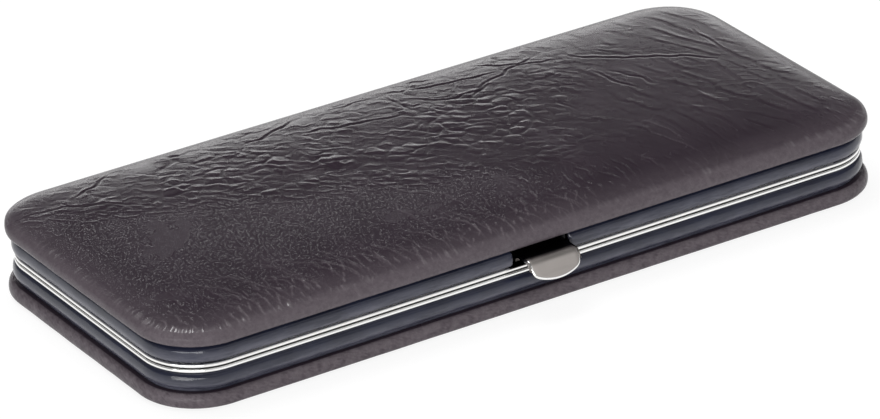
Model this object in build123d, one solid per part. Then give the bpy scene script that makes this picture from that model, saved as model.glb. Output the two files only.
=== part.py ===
from build123d import *
import os

# Framed manicure case, closed.  Millimetres, +X along the case, +Y to the hinge side, +Z up.
# The origin is the centre of the bottom cover's underside.
# An "inset" is a distance inwards from the outer edge of the two covers.

# ---- outline ----
case_length = 165.0
case_width = 73.0
corner_radius = 13.2

# ---- covers: leather over foam and board, turned in at the edge ----
leather = 0.9
foam_thickness = 0.4
board_thickness = 1.2
cover_outer_round = 1.9
cover_inner_round = 1.2
board_edge_inset = 1.1
hem_width = 9.0

# ---- side bands: bowed strips of glossy leather, with a groove next to the cover ----
band_height = 3.85
band_bulge_inset = 1.15
band_end_inset = 1.5
band_groove_height = 0.45
band_groove_inset = 2.0

# ---- frames: nickel-plated rails with a polished bead at the parting line ----
frame_inset = 2.4
frame_wall = 0.8
flange_width = 4.5
flange_thickness = 0.6
bead_inset = 1.45
bead_height = 0.75
bead_round = 0.3
bead_shadow_gap = 0.15
parting_gap = 0.3

# ---- lining ----
lining_skin = 0.7
pad_thickness = 0.8
lining_margin = 0.3
pad_clearance = 0.1

# ---- tool bands: straps sewn down between loops ----
strap_thickness = 0.9
strap_width = 12.0
strap_x = 38.0
loop_widths = (9.0, 12.0, 12.0, 9.0)
loop_height = 4.4
loop_round = 1.8
strap_foot = 3.0
strap_end_inset = 8.0

# ---- hinges ----
hinge_x = 45.0
hinge_inset = 1.2
knuckle_radius = 1.1
knuckle_count = 5
knuckle_length = 3.4
knuckle_gap = 0.2
hinge_pin_radius = 0.45
running_clearance = 0.05
barrel_clearance = 0.3
leaf_thickness = 0.5
leaf_drop = 2.9
pin_head_radius = 0.75
pin_head_thickness = 0.3

# ---- rivets ----
rivet_shank_radius = 0.45
rivet_head_radius = 0.85
rivet_head_height = 0.35
hinge_rivet_spacing = 11.0
frame_rivet_radius = 0.6
frame_rivet_head_radius = 1.1
frame_rivet_head_height = 0.3
frame_rivet_columns = 4
frame_rivet_pitch = 38.0
frame_rivet_end_y = 14.0

# ---- latch ----
notch_width = 13.4
lever_side_room = 1.1
lever_sheet = 0.8
lever_rise = 3.5
lever_reach = 4.1
lip_reach = 2.35
lip_drop = 3.6
lip_bow = 1.3
lever_pivot_inset = 5.0
lever_bend = 0.9
lip_corner_round = 1.35
lever_barrel_radius = 0.95
latch_pin_radius = 0.5
spring_slot_width = 4.8
spring_slot_radius = 1.25
hook_side_room = 2.9
hook_thickness = 0.8
hook_depth = 2.45
nose_height = 0.8
nose_clearance = 0.1
striker_thickness = 0.6
striker_side_margin = 0.7
striker_height = 3.1
striker_drop = 0.15
striker_window_margin = 0.6
striker_window_height = 1.6
striker_rivet_margin = 0.8
housing_sheet = 0.6
housing_side_clearance = 0.5
housing_depth = 4.0
housing_tab_width = 2.6
lever_end_clearance = 0.25
shelf_width = 7.6
shelf_reach = 1.8
shelf_round = 0.9
spring_wire_radius = 0.16
spring_turns = 3
spring_coil_clearance = 0.12
spring_free_arm = 1.0

# ---- heights that follow from the sizes above ----
cover_thickness = leather + foam_thickness + board_thickness + leather
band_top = cover_thickness + band_height
bead_bottom = band_top + bead_shadow_gap
rail_top = bead_bottom + bead_height
parting = rail_top + parting_gap / 2
case_height = 2 * parting
frame_inner_inset = frame_inset + frame_wall
lining_inner_inset = frame_inner_inset + lining_skin
flange_top = cover_thickness + flange_thickness
pad_top = flange_top + pad_thickness
half_length = case_length / 2
half_width = case_width / 2
wall_inner_y = half_width - frame_inner_inset
hinge_y = half_width - hinge_inset
hinge_length = knuckle_count * knuckle_length + (knuckle_count - 1) * knuckle_gap
lever_width = notch_width - 2 * lever_side_room
hook_width = notch_width - 2 * hook_side_room
striker_width = notch_width - 2 * striker_side_margin


def plate(inset, z_low, z_high):
    """A rounded slab that follows the case's outline at an inset."""
    outline = RectangleRounded(case_length - 2 * inset, case_width - 2 * inset, corner_radius - inset)
    return Pos(0, 0, z_low) * extrude(outline, z_high - z_low)


def block(x_low, x_high, y_low, y_high, z_low, z_high):
    """A box given by its limits."""
    size = (x_high - x_low, y_high - y_low, z_high - z_low)
    middle = ((x_low + x_high) / 2, (y_low + y_high) / 2, (z_low + z_high) / 2)
    return Pos(*middle) * Box(*size)


def rod_x(radius, x_low, x_high, y, z):
    """A cylinder along X."""
    return Pos((x_low + x_high) / 2, y, z) * Rot(0, 90, 0) * Cylinder(radius, x_high - x_low)


def rail(profile):
    """Sweep a profile drawn as (inset, height) once round the case."""
    path_inset = frame_inset
    path = RectangleRounded(
        case_length - 2 * path_inset, case_width - 2 * path_inset, corner_radius - path_inset
    ).wire()
    start = path @ 0
    along = path % 0
    outwards = Vector(along.Y, -along.X, 0)
    if outwards.dot(Vector(start.X, start.Y, 0)) < 0:
        outwards = outwards * -1
    plane = Plane(origin=start, x_dir=outwards, z_dir=outwards.cross(Vector(0, 0, 1)))
    section = plane * (Pos(path_inset, 0) * mirror(profile, about=Plane.YZ))
    return sweep(section, path=path)


def upper(solid):
    """The same piece in the other half, mirrored across the parting plane."""
    return mirror(solid, about=Plane.XY.offset(parting))


def flat_rivet(x, y, z_low, z_high):
    """A flush-headed rivet standing along Z, head at the top."""
    shank = Pos(x, y, (z_low + z_high) / 2) * Cylinder(frame_rivet_radius, z_high - z_low)
    head_z = z_high - frame_rivet_head_height / 2
    head = Pos(x, y, head_z) * Cone(frame_rivet_radius, frame_rivet_head_radius, frame_rivet_head_height)
    return shank + head


def wall_rivet(x, z, inner_face_y, outwards):
    """A domed rivet along Y through a bracket and the frame wall; outwards is +1 or -1."""
    outer_face_y = outwards * (wall_inner_y + frame_wall)
    middle = (inner_face_y + outer_face_y) / 2
    shank = Pos(x, middle, z) * Rot(90, 0, 0) * Cylinder(
        rivet_shank_radius, abs(outer_face_y - inner_face_y)
    )
    dome_sphere = (rivet_head_radius**2 + rivet_head_height**2) / (2 * rivet_head_height)
    sphere_y = inner_face_y + outwards * (dome_sphere - rivet_head_height)
    dome = Pos(x, sphere_y, z) * Sphere(dome_sphere)
    reach = 2 * dome_sphere
    if outwards > 0:
        half_space = block(x - reach, x + reach, inner_face_y - reach, inner_face_y, z - reach, z + reach)
    else:
        half_space = block(x - reach, x + reach, inner_face_y, inner_face_y + reach, z - reach, z + reach)
    return shank + (dome & half_space)


# ---- covers ----
def cover_outer():
    slab = plate(0, 0, cover_thickness)
    slab = fillet(slab.edges().group_by(Axis.Z)[0], cover_outer_round)
    return fillet(slab.edges().group_by(Axis.Z)[-1], cover_inner_round)


def cover_core(z_low, z_high):
    return plate(board_edge_inset, z_low, z_high)


def frame_rivet_places():
    """Rivet centres along both long sides and both ends of the flange."""
    inset = frame_inner_inset + flange_width / 2
    side_y = half_width - inset
    end_x = half_length - inset
    first_x = -frame_rivet_pitch * (frame_rivet_columns - 1) / 2
    columns = [first_x + frame_rivet_pitch * i for i in range(frame_rivet_columns)]
    sides = [(x, y) for x in columns for y in (-side_y, side_y)]
    ends = [(x, y) for x in (-end_x, end_x) for y in (-frame_rivet_end_y, frame_rivet_end_y)]
    return sides + ends


def frame_rivets():
    bottom = leather + foam_thickness
    rivets = [flat_rivet(x, y, bottom, flange_top) for x, y in frame_rivet_places()]
    return Part() + rivets


def cover_leather():
    skin = cover_outer() - cover_core(leather, cover_thickness - leather)
    skin -= plate(hem_width, cover_thickness - leather, cover_thickness)
    return skin - frame_rivets()


def cover_foam():
    return cover_core(leather, leather + foam_thickness)


def cover_board():
    board_low = leather + foam_thickness
    return cover_core(board_low, board_low + board_thickness) - frame_rivets()


# ---- side bands and frames ----
def band_profile():
    """Flat against the frame, grooved next to the cover and bowed outwards in one arc."""
    groove_top = cover_thickness + band_groove_height
    inner_low = (frame_inset, cover_thickness)
    inner_high = (frame_inset, band_top)
    groove_low = (band_groove_inset, cover_thickness)
    groove_high = (band_groove_inset, groove_top)
    outer_low = (band_end_inset, groove_top)
    outer_high = (band_end_inset, band_top)
    bulge = (band_bulge_inset, (groove_top + band_top) / 2)
    edges = [
        Line(inner_low, groove_low),
        Line(groove_low, groove_high),
        Line(groove_high, outer_low),
        ThreePointArc(outer_low, bulge, outer_high),
        Line(outer_high, inner_high),
        Line(inner_high, inner_low),
    ]
    return make_face(edges)


def frame_profile():
    """A flange on the cover, a wall, and a bead that turns out over the band."""
    bead = Pos((bead_inset + frame_inner_inset) / 2, (bead_bottom + rail_top) / 2) * Rectangle(
        frame_inner_inset - bead_inset, bead_height
    )
    bead = fillet(bead.vertices().group_by(Axis.X)[0], bead_round)
    wall = Pos((frame_inset + frame_inner_inset) / 2, (cover_thickness + rail_top) / 2) * Rectangle(
        frame_wall, rail_top - cover_thickness
    )
    flange_end = frame_inner_inset + flange_width
    flange = Pos((frame_inset + flange_end) / 2, (cover_thickness + flange_top) / 2) * Rectangle(
        flange_end - frame_inset, flange_thickness
    )
    return bead + wall + flange


def hinge_span_cut():
    """Room for both hinge barrels along the parting line."""
    cuts = []
    for x in (-hinge_x, hinge_x):
        reach = hinge_length / 2 + pin_head_thickness + knuckle_gap
        cuts.append(rod_x(knuckle_radius + barrel_clearance, x - reach, x + reach, hinge_y, parting))
    return Part() + cuts


def leaf_seats():
    """The rail is lowered by one leaf where a hinge leaf crosses it."""
    seats = []
    for x in (-hinge_x, hinge_x):
        reach = hinge_length / 2
        seats.append(
            block(x - reach, x + reach, wall_inner_y - leaf_thickness, hinge_y,
                  rail_top - leaf_thickness, rail_top + parting_gap)
        )
    return Part() + seats


def hinge_rivet_places():
    z = rail_top - leaf_drop / 2 - leaf_thickness / 2
    return [(hinge + side * hinge_rivet_spacing / 2, z) for hinge in (-hinge_x, hinge_x) for side in (-1, 1)]


def hinge_rivets(hinge):
    places = [(x, z) for x, z in hinge_rivet_places() if abs(x - hinge) < hinge_length]
    return Part() + [wall_rivet(x, z, wall_inner_y - leaf_thickness, 1) for x, z in places]


def striker_rivets():
    z = rail_top - striker_drop - striker_height / 2
    face = -(wall_inner_y - striker_thickness)
    x = striker_width / 2 - striker_rivet_margin
    return Part() + [wall_rivet(side * x, z, face, -1) for side in (-1, 1)]


def frame_half():
    body = rail(frame_profile()) - hinge_span_cut() - leaf_seats()
    return body - frame_rivets() - hinge_rivets(-hinge_x) - hinge_rivets(hinge_x)


def band_half():
    return rail(band_profile()) - hinge_span_cut()


# ---- lid heights, measured down from the parting plane's mirror ----
lid_band_low = 2 * parting - band_top
lid_rail_low = 2 * parting - rail_top
lid_flange_low = 2 * parting - flange_top
lid_cover_low = 2 * parting - cover_thickness
pivot_y = -(half_width - lever_pivot_inset)
pivot_z = parting + lever_rise - lever_sheet / 2
rail_y = -(half_width - bead_inset)


def latch_notch():
    """The opening through the lid's front that the latch works in."""
    reach = notch_width / 2
    return block(-reach, reach, -half_width, -wall_inner_y, lid_band_low, lid_cover_low)


def latch_shelf():
    """The lid's bead widened into a small shelf under the latch tab."""
    depth = shelf_reach + frame_inset - bead_inset
    outline = Pos(0, rail_y - shelf_reach + depth / 2) * Rectangle(shelf_width, depth)
    outline = fillet(outline.vertices().group_by(Axis.Y)[0], shelf_round)
    shelf = Pos(0, 0, lid_rail_low) * extrude(outline, bead_height)
    return fillet(shelf.faces().sort_by(Axis.Y)[0].edges().filter_by(Axis.X), bead_round)


def housing_rivets():
    x = notch_width / 2 + housing_sheet + housing_tab_width / 2 - housing_side_clearance
    z = (lid_band_low + lid_flange_low) / 2
    face = -(wall_inner_y - housing_sheet)
    return Part() + [wall_rivet(side * x, z, face, -1) for side in (-1, 1)]


def base_frame():
    return frame_half() - striker_rivets()


def lid_frame():
    return upper(frame_half()) - latch_notch() + latch_shelf() - housing_rivets()


def lid_side_band():
    return upper(band_half()) - latch_notch()


# ---- lining ----
def lining_wall():
    """The skin inside the frame wall, open where hinge leaves are fixed."""
    skin = plate(frame_inner_inset, flange_top, rail_top - lining_margin)
    skin -= plate(lining_inner_inset, flange_top, rail_top)
    for x in (-hinge_x, hinge_x):
        reach = hinge_length / 2 + lining_margin
        low = rail_top - leaf_drop - lining_margin
        skin -= block(x - reach, x + reach, 0, half_width, low, parting)
    return skin


def front_window(width, z_low, z_high):
    return block(-width / 2, width / 2, -half_width, 0, z_low, z_high)


def base_lining_wall():
    low = rail_top - striker_drop - striker_height - lining_margin
    return lining_wall() - front_window(striker_width + 2 * lining_margin, low, parting)


def lid_lining_wall():
    width = notch_width + 2 * (housing_sheet + housing_tab_width)
    return upper(lining_wall()) - front_window(width, parting, lid_flange_low)


def lining_pad():
    """A pad that fills the well inside the flange and the hem, and covers the flange."""
    top = plate(lining_inner_inset, flange_top, pad_top)
    top = fillet(top.edges().group_by(Axis.Z)[-1], pad_thickness / 2)
    inside_flange = plate(frame_inner_inset + flange_width + pad_clearance, cover_thickness, flange_top)
    inside_hem = plate(hem_width + pad_clearance, cover_thickness - leather, cover_thickness)
    return top + inside_flange + inside_hem


def lid_lining_pad():
    """The lid's pad, notched round the latch housing."""
    reach = notch_width / 2 + housing_sheet + housing_tab_width
    notch = block(-reach, reach, -half_width, -(wall_inner_y - housing_depth - lining_margin),
                  parting, lid_flange_low)
    return upper(lining_pad()) - notch


# ---- tool bands ----
def band_layout():
    """Loop centres and widths across the case, evenly placed about the middle."""
    total = sum(loop_widths) + strap_foot * (len(loop_widths) - 1)
    y = -total / 2
    layout = []
    for width in loop_widths:
        layout.append((y + width / 2, width))
        y += width + strap_foot
    return layout


def tool_band(x):
    """One strap over the pad, raised into loops and sewn flat between them."""
    layout = band_layout()
    reach = half_width - strap_end_inset
    section = Pos(0, strap_thickness / 2) * Rectangle(2 * reach, strap_thickness)
    for y, width in layout:
        outer = Pos(y, (loop_height + strap_thickness) / 2) * Rectangle(
            width + 2 * strap_thickness, loop_height + strap_thickness
        )
        outer = fillet(outer.vertices().group_by(Axis.Y)[-1], loop_round + strap_thickness)
        section += outer
    for y, width in layout:
        inner = Pos(y, loop_height / 2) * Rectangle(width, loop_height)
        inner = fillet(inner.vertices().group_by(Axis.Y)[-1], loop_round)
        section -= inner
    plane = Plane(origin=(x - strap_width / 2, 0, pad_top), x_dir=(0, 1, 0), z_dir=(1, 0, 0))
    return extrude(plane * section, strap_width)


# ---- hinges ----
def knuckles(hinge, picked):
    """The rolled knuckles of one leaf; picked gives their places along the pin."""
    rolled = []
    for i in picked:
        low = hinge - hinge_length / 2 + i * (knuckle_length + knuckle_gap)
        rolled.append(rod_x(knuckle_radius, low, low + knuckle_length, hinge_y, parting))
    return Part() + rolled


def hinge_leaf(hinge, picked):
    """A leaf of the base: knuckles, a strip over the rail and a plate down the wall."""
    reach = hinge_length / 2
    inner = wall_inner_y - leaf_thickness
    strip_end = hinge_y - knuckle_radius - knuckle_gap
    strip = block(hinge - reach, hinge + reach, inner, strip_end, rail_top - leaf_thickness, rail_top)
    drop = block(hinge - reach, hinge + reach, inner, wall_inner_y, rail_top - leaf_drop, rail_top)
    leaf = strip + drop + knuckles(hinge, picked)
    for i in picked:
        low = hinge - reach + i * (knuckle_length + knuckle_gap)
        leaf += block(low, low + knuckle_length, strip_end - leaf_thickness, hinge_y,
                      rail_top - leaf_thickness, rail_top)
    bore = rod_x(hinge_pin_radius + running_clearance, hinge - reach, hinge + reach, hinge_y, parting)
    return leaf - bore - hinge_rivets(hinge)


def base_leaf(hinge):
    return hinge_leaf(hinge, range(0, knuckle_count, 2))


def lid_leaf(hinge):
    return upper(hinge_leaf(hinge, range(1, knuckle_count, 2)))


def hinge_pin(hinge):
    """A pin with a small round head at each end."""
    reach = hinge_length / 2
    pin = rod_x(hinge_pin_radius, hinge - reach, hinge + reach, hinge_y, parting)
    for side in (-1, 1):
        near = hinge + side * reach
        far = near + side * pin_head_thickness
        pin += rod_x(pin_head_radius, min(near, far), max(near, far), hinge_y, parting)
    return pin


# ---- latch ----
def lever_sheet_solid():
    """The sheet comes out level from the pivot, bends and slopes down to the lip."""
    bend_y = rail_y - lever_reach
    path = FilletPolyline(
        (pivot_y, pivot_z), (bend_y, pivot_z), (bend_y - lip_reach, pivot_z - lip_drop), radius=lever_bend
    )
    side_view = Plane(origin=(-lever_width / 2, 0, 0), x_dir=(0, 1, 0), z_dir=(1, 0, 0))
    return extrude(side_view * trace(path, line_width=lever_sheet), lever_width)


def lip_outline():
    """Front view of the tab: straight sides and one bowed lower edge, like a D on its side."""
    reach = lever_width / 2
    high = pivot_z + lever_sheet
    low = pivot_z - lip_drop
    corner = low + lip_bow
    edges = [
        Line((-reach, high), (-reach, corner)),
        ThreePointArc((-reach, corner), (0, low), (reach, corner)),
        Line((reach, corner), (reach, high)),
        Line((reach, high), (-reach, high)),
    ]
    outline = make_face(edges)
    corners = outline.vertices().filter_by_position(Axis.Y, corner - 0.01, corner + 0.01)
    return fillet(corners, lip_corner_round)


def latch_hook():
    """The leg below the pivot and the nose that faces the striker's window."""
    reach = hook_width / 2
    low = parting - hook_depth
    leg = block(-reach, reach, pivot_y - hook_thickness / 2, pivot_y + hook_thickness / 2, low, pivot_z)
    nose_tip = -(wall_inner_y - striker_thickness) + nose_clearance
    nose = block(-reach, reach, nose_tip, pivot_y, low, low + nose_height)
    lead_in = nose.edges().filter_by(Axis.X).group_by(Axis.Y)[0].sort_by(Axis.Z)[0]
    return leg + chamfer(lead_in, nose_height / 2)


def latch_lever():
    barrel_reach = notch_width / 2 - housing_side_clearance - lever_end_clearance
    front_view = Plane(origin=(0, -half_width - lever_reach - lip_reach, 0), x_dir=(1, 0, 0), z_dir=(0, -1, 0))
    lever = lever_sheet_solid() & extrude(front_view * lip_outline(), -(2 * lever_reach + lip_reach))
    lever += latch_hook() + rod_x(lever_barrel_radius, -barrel_reach, barrel_reach, pivot_y, pivot_z)
    lever -= rod_x(spring_slot_radius, -spring_slot_width / 2, spring_slot_width / 2, pivot_y, pivot_z)
    return lever - rod_x(latch_pin_radius + running_clearance, -barrel_reach, barrel_reach, pivot_y, pivot_z)


def latch_pin():
    reach = notch_width / 2 - housing_side_clearance + housing_sheet + pin_head_thickness
    return rod_x(latch_pin_radius, -reach, reach, pivot_y, pivot_z)


def spring_radius():
    return latch_pin_radius + spring_coil_clearance + spring_wire_radius


def latch_spring():
    """A torsion coil round the pin; one arm lies under the tab, the other is let into the housing."""
    pitch = 2 * (spring_wire_radius + running_clearance)
    length = pitch * spring_turns
    radius = spring_radius()
    frame = Plane(origin=(-length / 2, pivot_y, pivot_z), x_dir=(0, 0, -1), z_dir=(1, 0, 0))
    coil = Helix(pitch, length, radius)
    tail_length = -(wall_inner_y - housing_depth) - pivot_y
    free_end = coil @ 0 - (coil % 0) * spring_free_arm
    fixed_end = coil @ 1 + (coil % 1) * tail_length
    path = Wire([Edge.make_line(free_end, coil @ 0), coil.edge(), Edge.make_line(coil @ 1, fixed_end)])
    section = Plane(origin=path @ 0, z_dir=path % 0) * Circle(spring_wire_radius)
    return frame * sweep(section, path=path)


def latch_housing():
    """A bent sheet behind the notch: two ears for the pin, a back, and tabs riveted to the wall."""
    ear_x = notch_width / 2 - housing_side_clearance + housing_sheet / 2
    tab_x = ear_x + housing_sheet / 2 + housing_tab_width
    wall_y = -(wall_inner_y - housing_sheet / 2)
    back_y = -(wall_inner_y - housing_depth + housing_sheet / 2)
    path = FilletPolyline(
        (-tab_x, wall_y), (-ear_x, wall_y), (-ear_x, back_y), (ear_x, back_y), (ear_x, wall_y), (tab_x, wall_y),
        radius=housing_sheet,
    )
    sheet = trace(path, line_width=housing_sheet)
    body = Pos(0, 0, lid_band_low) * extrude(sheet, lid_flange_low - lid_band_low)
    return body - latch_pin() - latch_spring() - housing_rivets()


def striker():
    """A plate inside the base's front wall with a window for the latch nose."""
    high = rail_top - striker_drop
    outer = -wall_inner_y
    inner = -(wall_inner_y - striker_thickness)
    plate_solid = block(-striker_width / 2, striker_width / 2, outer, inner, high - striker_height, high)
    corners = plate_solid.edges().filter_by(Axis.Y)
    plate_solid = fillet(corners, striker_thickness)
    nose_z = parting - hook_depth + nose_height / 2
    reach = hook_width / 2 + striker_window_margin
    half = striker_window_height / 2
    window = block(-reach, reach, outer, inner, nose_z - half, nose_z + half)
    return plate_solid - window - striker_rivets()


# ---- every piece, by name ----
def build():
    pieces = {
        "bottom_cover_leather": cover_leather(),
        "bottom_cover_foam": cover_foam(),
        "bottom_cover_board": cover_board(),
        "base_side_band": band_half(),
        "base_frame": base_frame(),
        "base_frame_rivets": frame_rivets(),
        "base_lining_wall": base_lining_wall(),
        "base_lining_pad": lining_pad(),
        "tool_band_left": tool_band(-strap_x),
        "tool_band_right": tool_band(strap_x),
        "striker": striker(),
        "striker_rivets": striker_rivets(),
        "top_cover_leather": upper(cover_leather()),
        "top_cover_foam": upper(cover_foam()),
        "top_cover_board": upper(cover_board()),
        "lid_side_band": lid_side_band(),
        "lid_frame": lid_frame(),
        "lid_frame_rivets": upper(frame_rivets()),
        "lid_lining_wall": lid_lining_wall(),
        "lid_lining_pad": lid_lining_pad(),
        "latch_housing": latch_housing(),
        "latch_housing_rivets": housing_rivets(),
        "latch_pin": latch_pin(),
        "latch_spring": latch_spring(),
        "latch_lever": latch_lever(),
    }
    for side, x in (("left", -hinge_x), ("right", hinge_x)):
        pieces[f"base_hinge_leaf_{side}"] = base_leaf(x)
        pieces[f"base_hinge_rivets_{side}"] = hinge_rivets(x)
        pieces[f"lid_hinge_leaf_{side}"] = lid_leaf(x)
        pieces[f"lid_hinge_rivets_{side}"] = upper(hinge_rivets(x))
        pieces[f"hinge_pin_{side}"] = hinge_pin(x)
    return pieces


os.makedirs("parts", exist_ok=True)
for name, solid in build().items():
    export_step(solid, f"parts/{name}.step")
print(f"case {case_length:.1f} x {case_width:.1f} x {case_height:.2f} mm")
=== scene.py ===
"""Dresses the framed manicure case: padded leather covers, glossy side bands, nickel rails and latch,
suede lining and sewn tool straps, on a pale studio stage."""
import math

import bmesh
import bpy
import numpy as np
from bpy.props import FloatProperty, FloatVectorProperty, IntProperty, PointerProperty
from mathutils import Matrix, Vector


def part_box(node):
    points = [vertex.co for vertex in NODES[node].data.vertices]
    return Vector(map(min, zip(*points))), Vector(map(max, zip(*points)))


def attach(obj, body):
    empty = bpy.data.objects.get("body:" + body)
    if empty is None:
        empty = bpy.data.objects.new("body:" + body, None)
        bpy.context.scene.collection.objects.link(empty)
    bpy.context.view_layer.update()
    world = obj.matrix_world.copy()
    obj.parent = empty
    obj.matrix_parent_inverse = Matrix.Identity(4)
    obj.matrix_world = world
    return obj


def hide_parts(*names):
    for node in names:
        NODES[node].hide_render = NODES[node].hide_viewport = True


bl_info = {
    "name": "Framed Manicure Case",
    "version": (1, 0, 0),
    "blender": (4, 5, 0),
    "location": "View3D > Sidebar > Manicure Case",
    "description": "Leather, nickel and suede finish for a hinged manicure case",
    "category": "Object",
}

MM = 0.001
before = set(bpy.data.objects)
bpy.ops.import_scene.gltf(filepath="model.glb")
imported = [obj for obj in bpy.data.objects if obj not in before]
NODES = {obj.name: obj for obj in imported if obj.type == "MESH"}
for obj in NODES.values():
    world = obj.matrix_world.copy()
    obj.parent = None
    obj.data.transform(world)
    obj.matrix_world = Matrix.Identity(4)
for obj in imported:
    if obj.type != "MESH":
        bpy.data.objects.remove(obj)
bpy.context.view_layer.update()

# Sizes that the frame gives
cover_low, cover_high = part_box("bottom_cover_leather")
band_low, band_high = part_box("base_side_band")
wall_low, wall_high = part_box("base_lining_wall")
HALF_LENGTH, HALF_WIDTH = cover_high.x, cover_high.y
COVER_THICKNESS = cover_high.z - cover_low.z
CASE_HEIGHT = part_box("top_cover_leather")[1].z
PARTING = CASE_HEIGHT / 2
WELL_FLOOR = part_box("base_lining_pad")[1].z

# Places that the soft pieces fit round
NOTCH_HALF, HOUSING_HALF = 6.7 * MM, 9.9 * MM
HINGE_X, HINGE_REACH, HINGE_Y = 45.0 * MM, 8.9 * MM, HALF_WIDTH - 1.2 * MM
STRAP_X, STRAP_HALF_WIDTH, STRAP_THICKNESS = 38.0 * MM, 6.0 * MM, 0.9 * MM


# ---------------------------------------------------------------- settings
def length_setting(name, description, value, low=0.0, high=1.0):
    return FloatProperty(name=name, description=description, default=value, min=low, max=high,
                         subtype="DISTANCE", unit="LENGTH", precision=5)


def angle_setting(name, description, degrees):
    return FloatProperty(name=name, description=description, default=math.radians(degrees),
                         subtype="ANGLE", unit="ROTATION")


def colour_setting(name, description, value):
    return FloatVectorProperty(name=name, description=description, default=value, size=3,
                               subtype="COLOR", min=0.0, max=1.0)


def share_setting(name, description, value):
    return FloatProperty(name=name, description=description, default=value, min=0.0, max=1.0,
                         subtype="FACTOR")


def power_setting(name, description, value):
    return FloatProperty(name=name, description=description, default=value, min=0.0)


class CaseForm(bpy.types.PropertyGroup):
    """Sizes of the soft pieces that the frame leaves open."""

    corner_radius: length_setting("Corner radius", "Plan radius of the covers' corners", 13.2 * MM)
    shoulder_width: length_setting("Shoulder width", "How far in the padded edge falls away", 8.5 * MM)
    shoulder_drop: length_setting("Shoulder drop", "Depth of the padded edge", 2.2 * MM)
    full_back: share_setting("Full back", "How much less the lid's edge falls at the back and right", 0.22)
    inner_round: length_setting("Inner round", "Roundness of a cover's turned-in edge", 1.2 * MM)
    crown: length_setting("Crown", "How far the padded lid swells in the middle", 1.9 * MM)
    pleat_height: length_setting("Pleat height", "Height of the puckers along a cover's rim", 0.08 * MM)
    grid_step: length_setting("Mesh step", "Spacing of the leather mesh", 0.27 * MM)
    band_wave: length_setting("Band unevenness", "Small waves in the side bands' leather", 0.03 * MM)
    pad_swell: length_setting("Lining swell", "How far the lining cushions swell", 0.35 * MM)
    stitch_length: length_setting("Stitch length", "Length of one stitch on a tool strap", 1.7 * MM)
    thread_radius: length_setting("Thread radius", "Radius of the sewing thread", 0.17 * MM)
    metal_edge: length_setting("Metal edge", "Softening of the metal's edges", 0.07 * MM)
    latch_edge: length_setting("Latch edge", "Polished rounding round the latch tab", 0.36 * MM)


class CreaseForm(bpy.types.PropertyGroup):
    """The crushed grain of the cover leather."""

    seed: IntProperty(name="Seed", description="Pattern of the creases", default=11, min=0)
    spacing: length_setting("Spacing", "Distance between large ridges", 2.8 * MM)
    depth: length_setting("Depth", "Height of the large ridges", 0.20 * MM)
    fine_spacing: length_setting("Fine spacing", "Distance between fine wrinkles", 2.0 * MM)
    fine_depth: length_setting("Fine depth", "Height of the fine wrinkles", 0.11 * MM)
    line_depth: length_setting("Line depth", "Depth of the long creases", 0.15 * MM)
    line_width: length_setting("Line width", "Width of the long creases", 0.55 * MM)


class Finishes(bpy.types.PropertyGroup):
    """Colours of the finishes."""

    leather: colour_setting("Leather", "Cover leather", (0.0265, 0.0168, 0.0255))
    # The rubbed leather colour stands for rubbing and for painted light and highlight on the rims, crests and
    # puckers.
    leather_rub: colour_setting("Rubbed leather", "Cover leather where it is rubbed", (0.158, 0.135, 0.150))
    band: colour_setting("Band leather", "Glossy side bands", (0.013, 0.015, 0.030))
    # The band's pale colour is a painted reflection towards the bottom of each band.
    band_rub: colour_setting("Rubbed band", "Side bands where they are rubbed", (0.110, 0.110, 0.145))
    nickel: colour_setting("Nickel", "Polished nickel plate", (0.94, 0.935, 0.925))
    satin: colour_setting("Satin nickel", "Face of the latch tab", (0.66, 0.61, 0.58))
    steel: colour_setting("Steel", "Spring and striker steel", (0.45, 0.45, 0.46))
    black: colour_setting("Black", "Blackened housing", (0.012, 0.012, 0.014))
    lining: colour_setting("Lining", "Suede lining", (0.19, 0.15, 0.135))
    strap: colour_setting("Strap", "Tool straps", (0.045, 0.032, 0.031))
    thread: colour_setting("Thread", "Sewing thread", (0.30, 0.25, 0.22))


class StageForm(bpy.types.PropertyGroup):
    """Camera and light."""

    azimuth: angle_setting("Azimuth", "Camera's turn round the case", -31.703)
    elevation: angle_setting("Elevation", "Camera's height above the floor", 26.201)
    roll: angle_setting("Roll", "Camera's roll", -2.212)
    lens: FloatProperty(name="Lens", description="Focal length", default=253.96, unit="CAMERA")
    distance: length_setting("Distance", "Camera to the middle of the case", 1.2122, 0.1, 10.0)
    shift_x: FloatProperty(name="Shift X", description="Frame shift, in frame widths", default=-0.00258)
    shift_y: FloatProperty(name="Shift Y", description="Frame shift, in frame widths", default=-0.01324)
    world: power_setting("World", "Strength of the even light", 0.40)
    key: power_setting("Key", "Power of the long light behind", 1.2)
    top: power_setting("Top", "Power of the light overhead", 6.0)
    fill: power_setting("Fill", "Power of the light in front", 1.7)
    corner: power_setting("Corner", "Power of the light by the left corner", 7.0)


class CaseSettings(bpy.types.PropertyGroup):
    """Everything that a user would change."""

    form: PointerProperty(type=CaseForm)
    crease: PointerProperty(type=CreaseForm)
    finish: PointerProperty(type=Finishes)
    stage: PointerProperty(type=StageForm)


def settings():
    return bpy.context.scene.manicure_case


# ---------------------------------------------------------------- mesh helpers
def make_piece(name, points, faces, material):
    """A smooth mesh object from points in metres and faces."""
    mesh = bpy.data.meshes.new(name)
    mesh.from_pydata([tuple(p) for p in points], [], [tuple(f) for f in faces])
    if mesh.validate(verbose=False):
        raise RuntimeError(f"{name} had faulty faces")
    mesh.update()
    mesh.polygons.foreach_set("use_smooth", [True] * len(mesh.polygons))
    mesh.materials.append(material)
    piece = bpy.data.objects.new(name, mesh)
    bpy.context.scene.collection.objects.link(piece)
    return piece


def add_attribute(piece, name, values):
    layer = piece.data.attributes.new(name, "FLOAT", "POINT")
    layer.data.foreach_set("value", np.asarray(values, np.float32))


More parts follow.
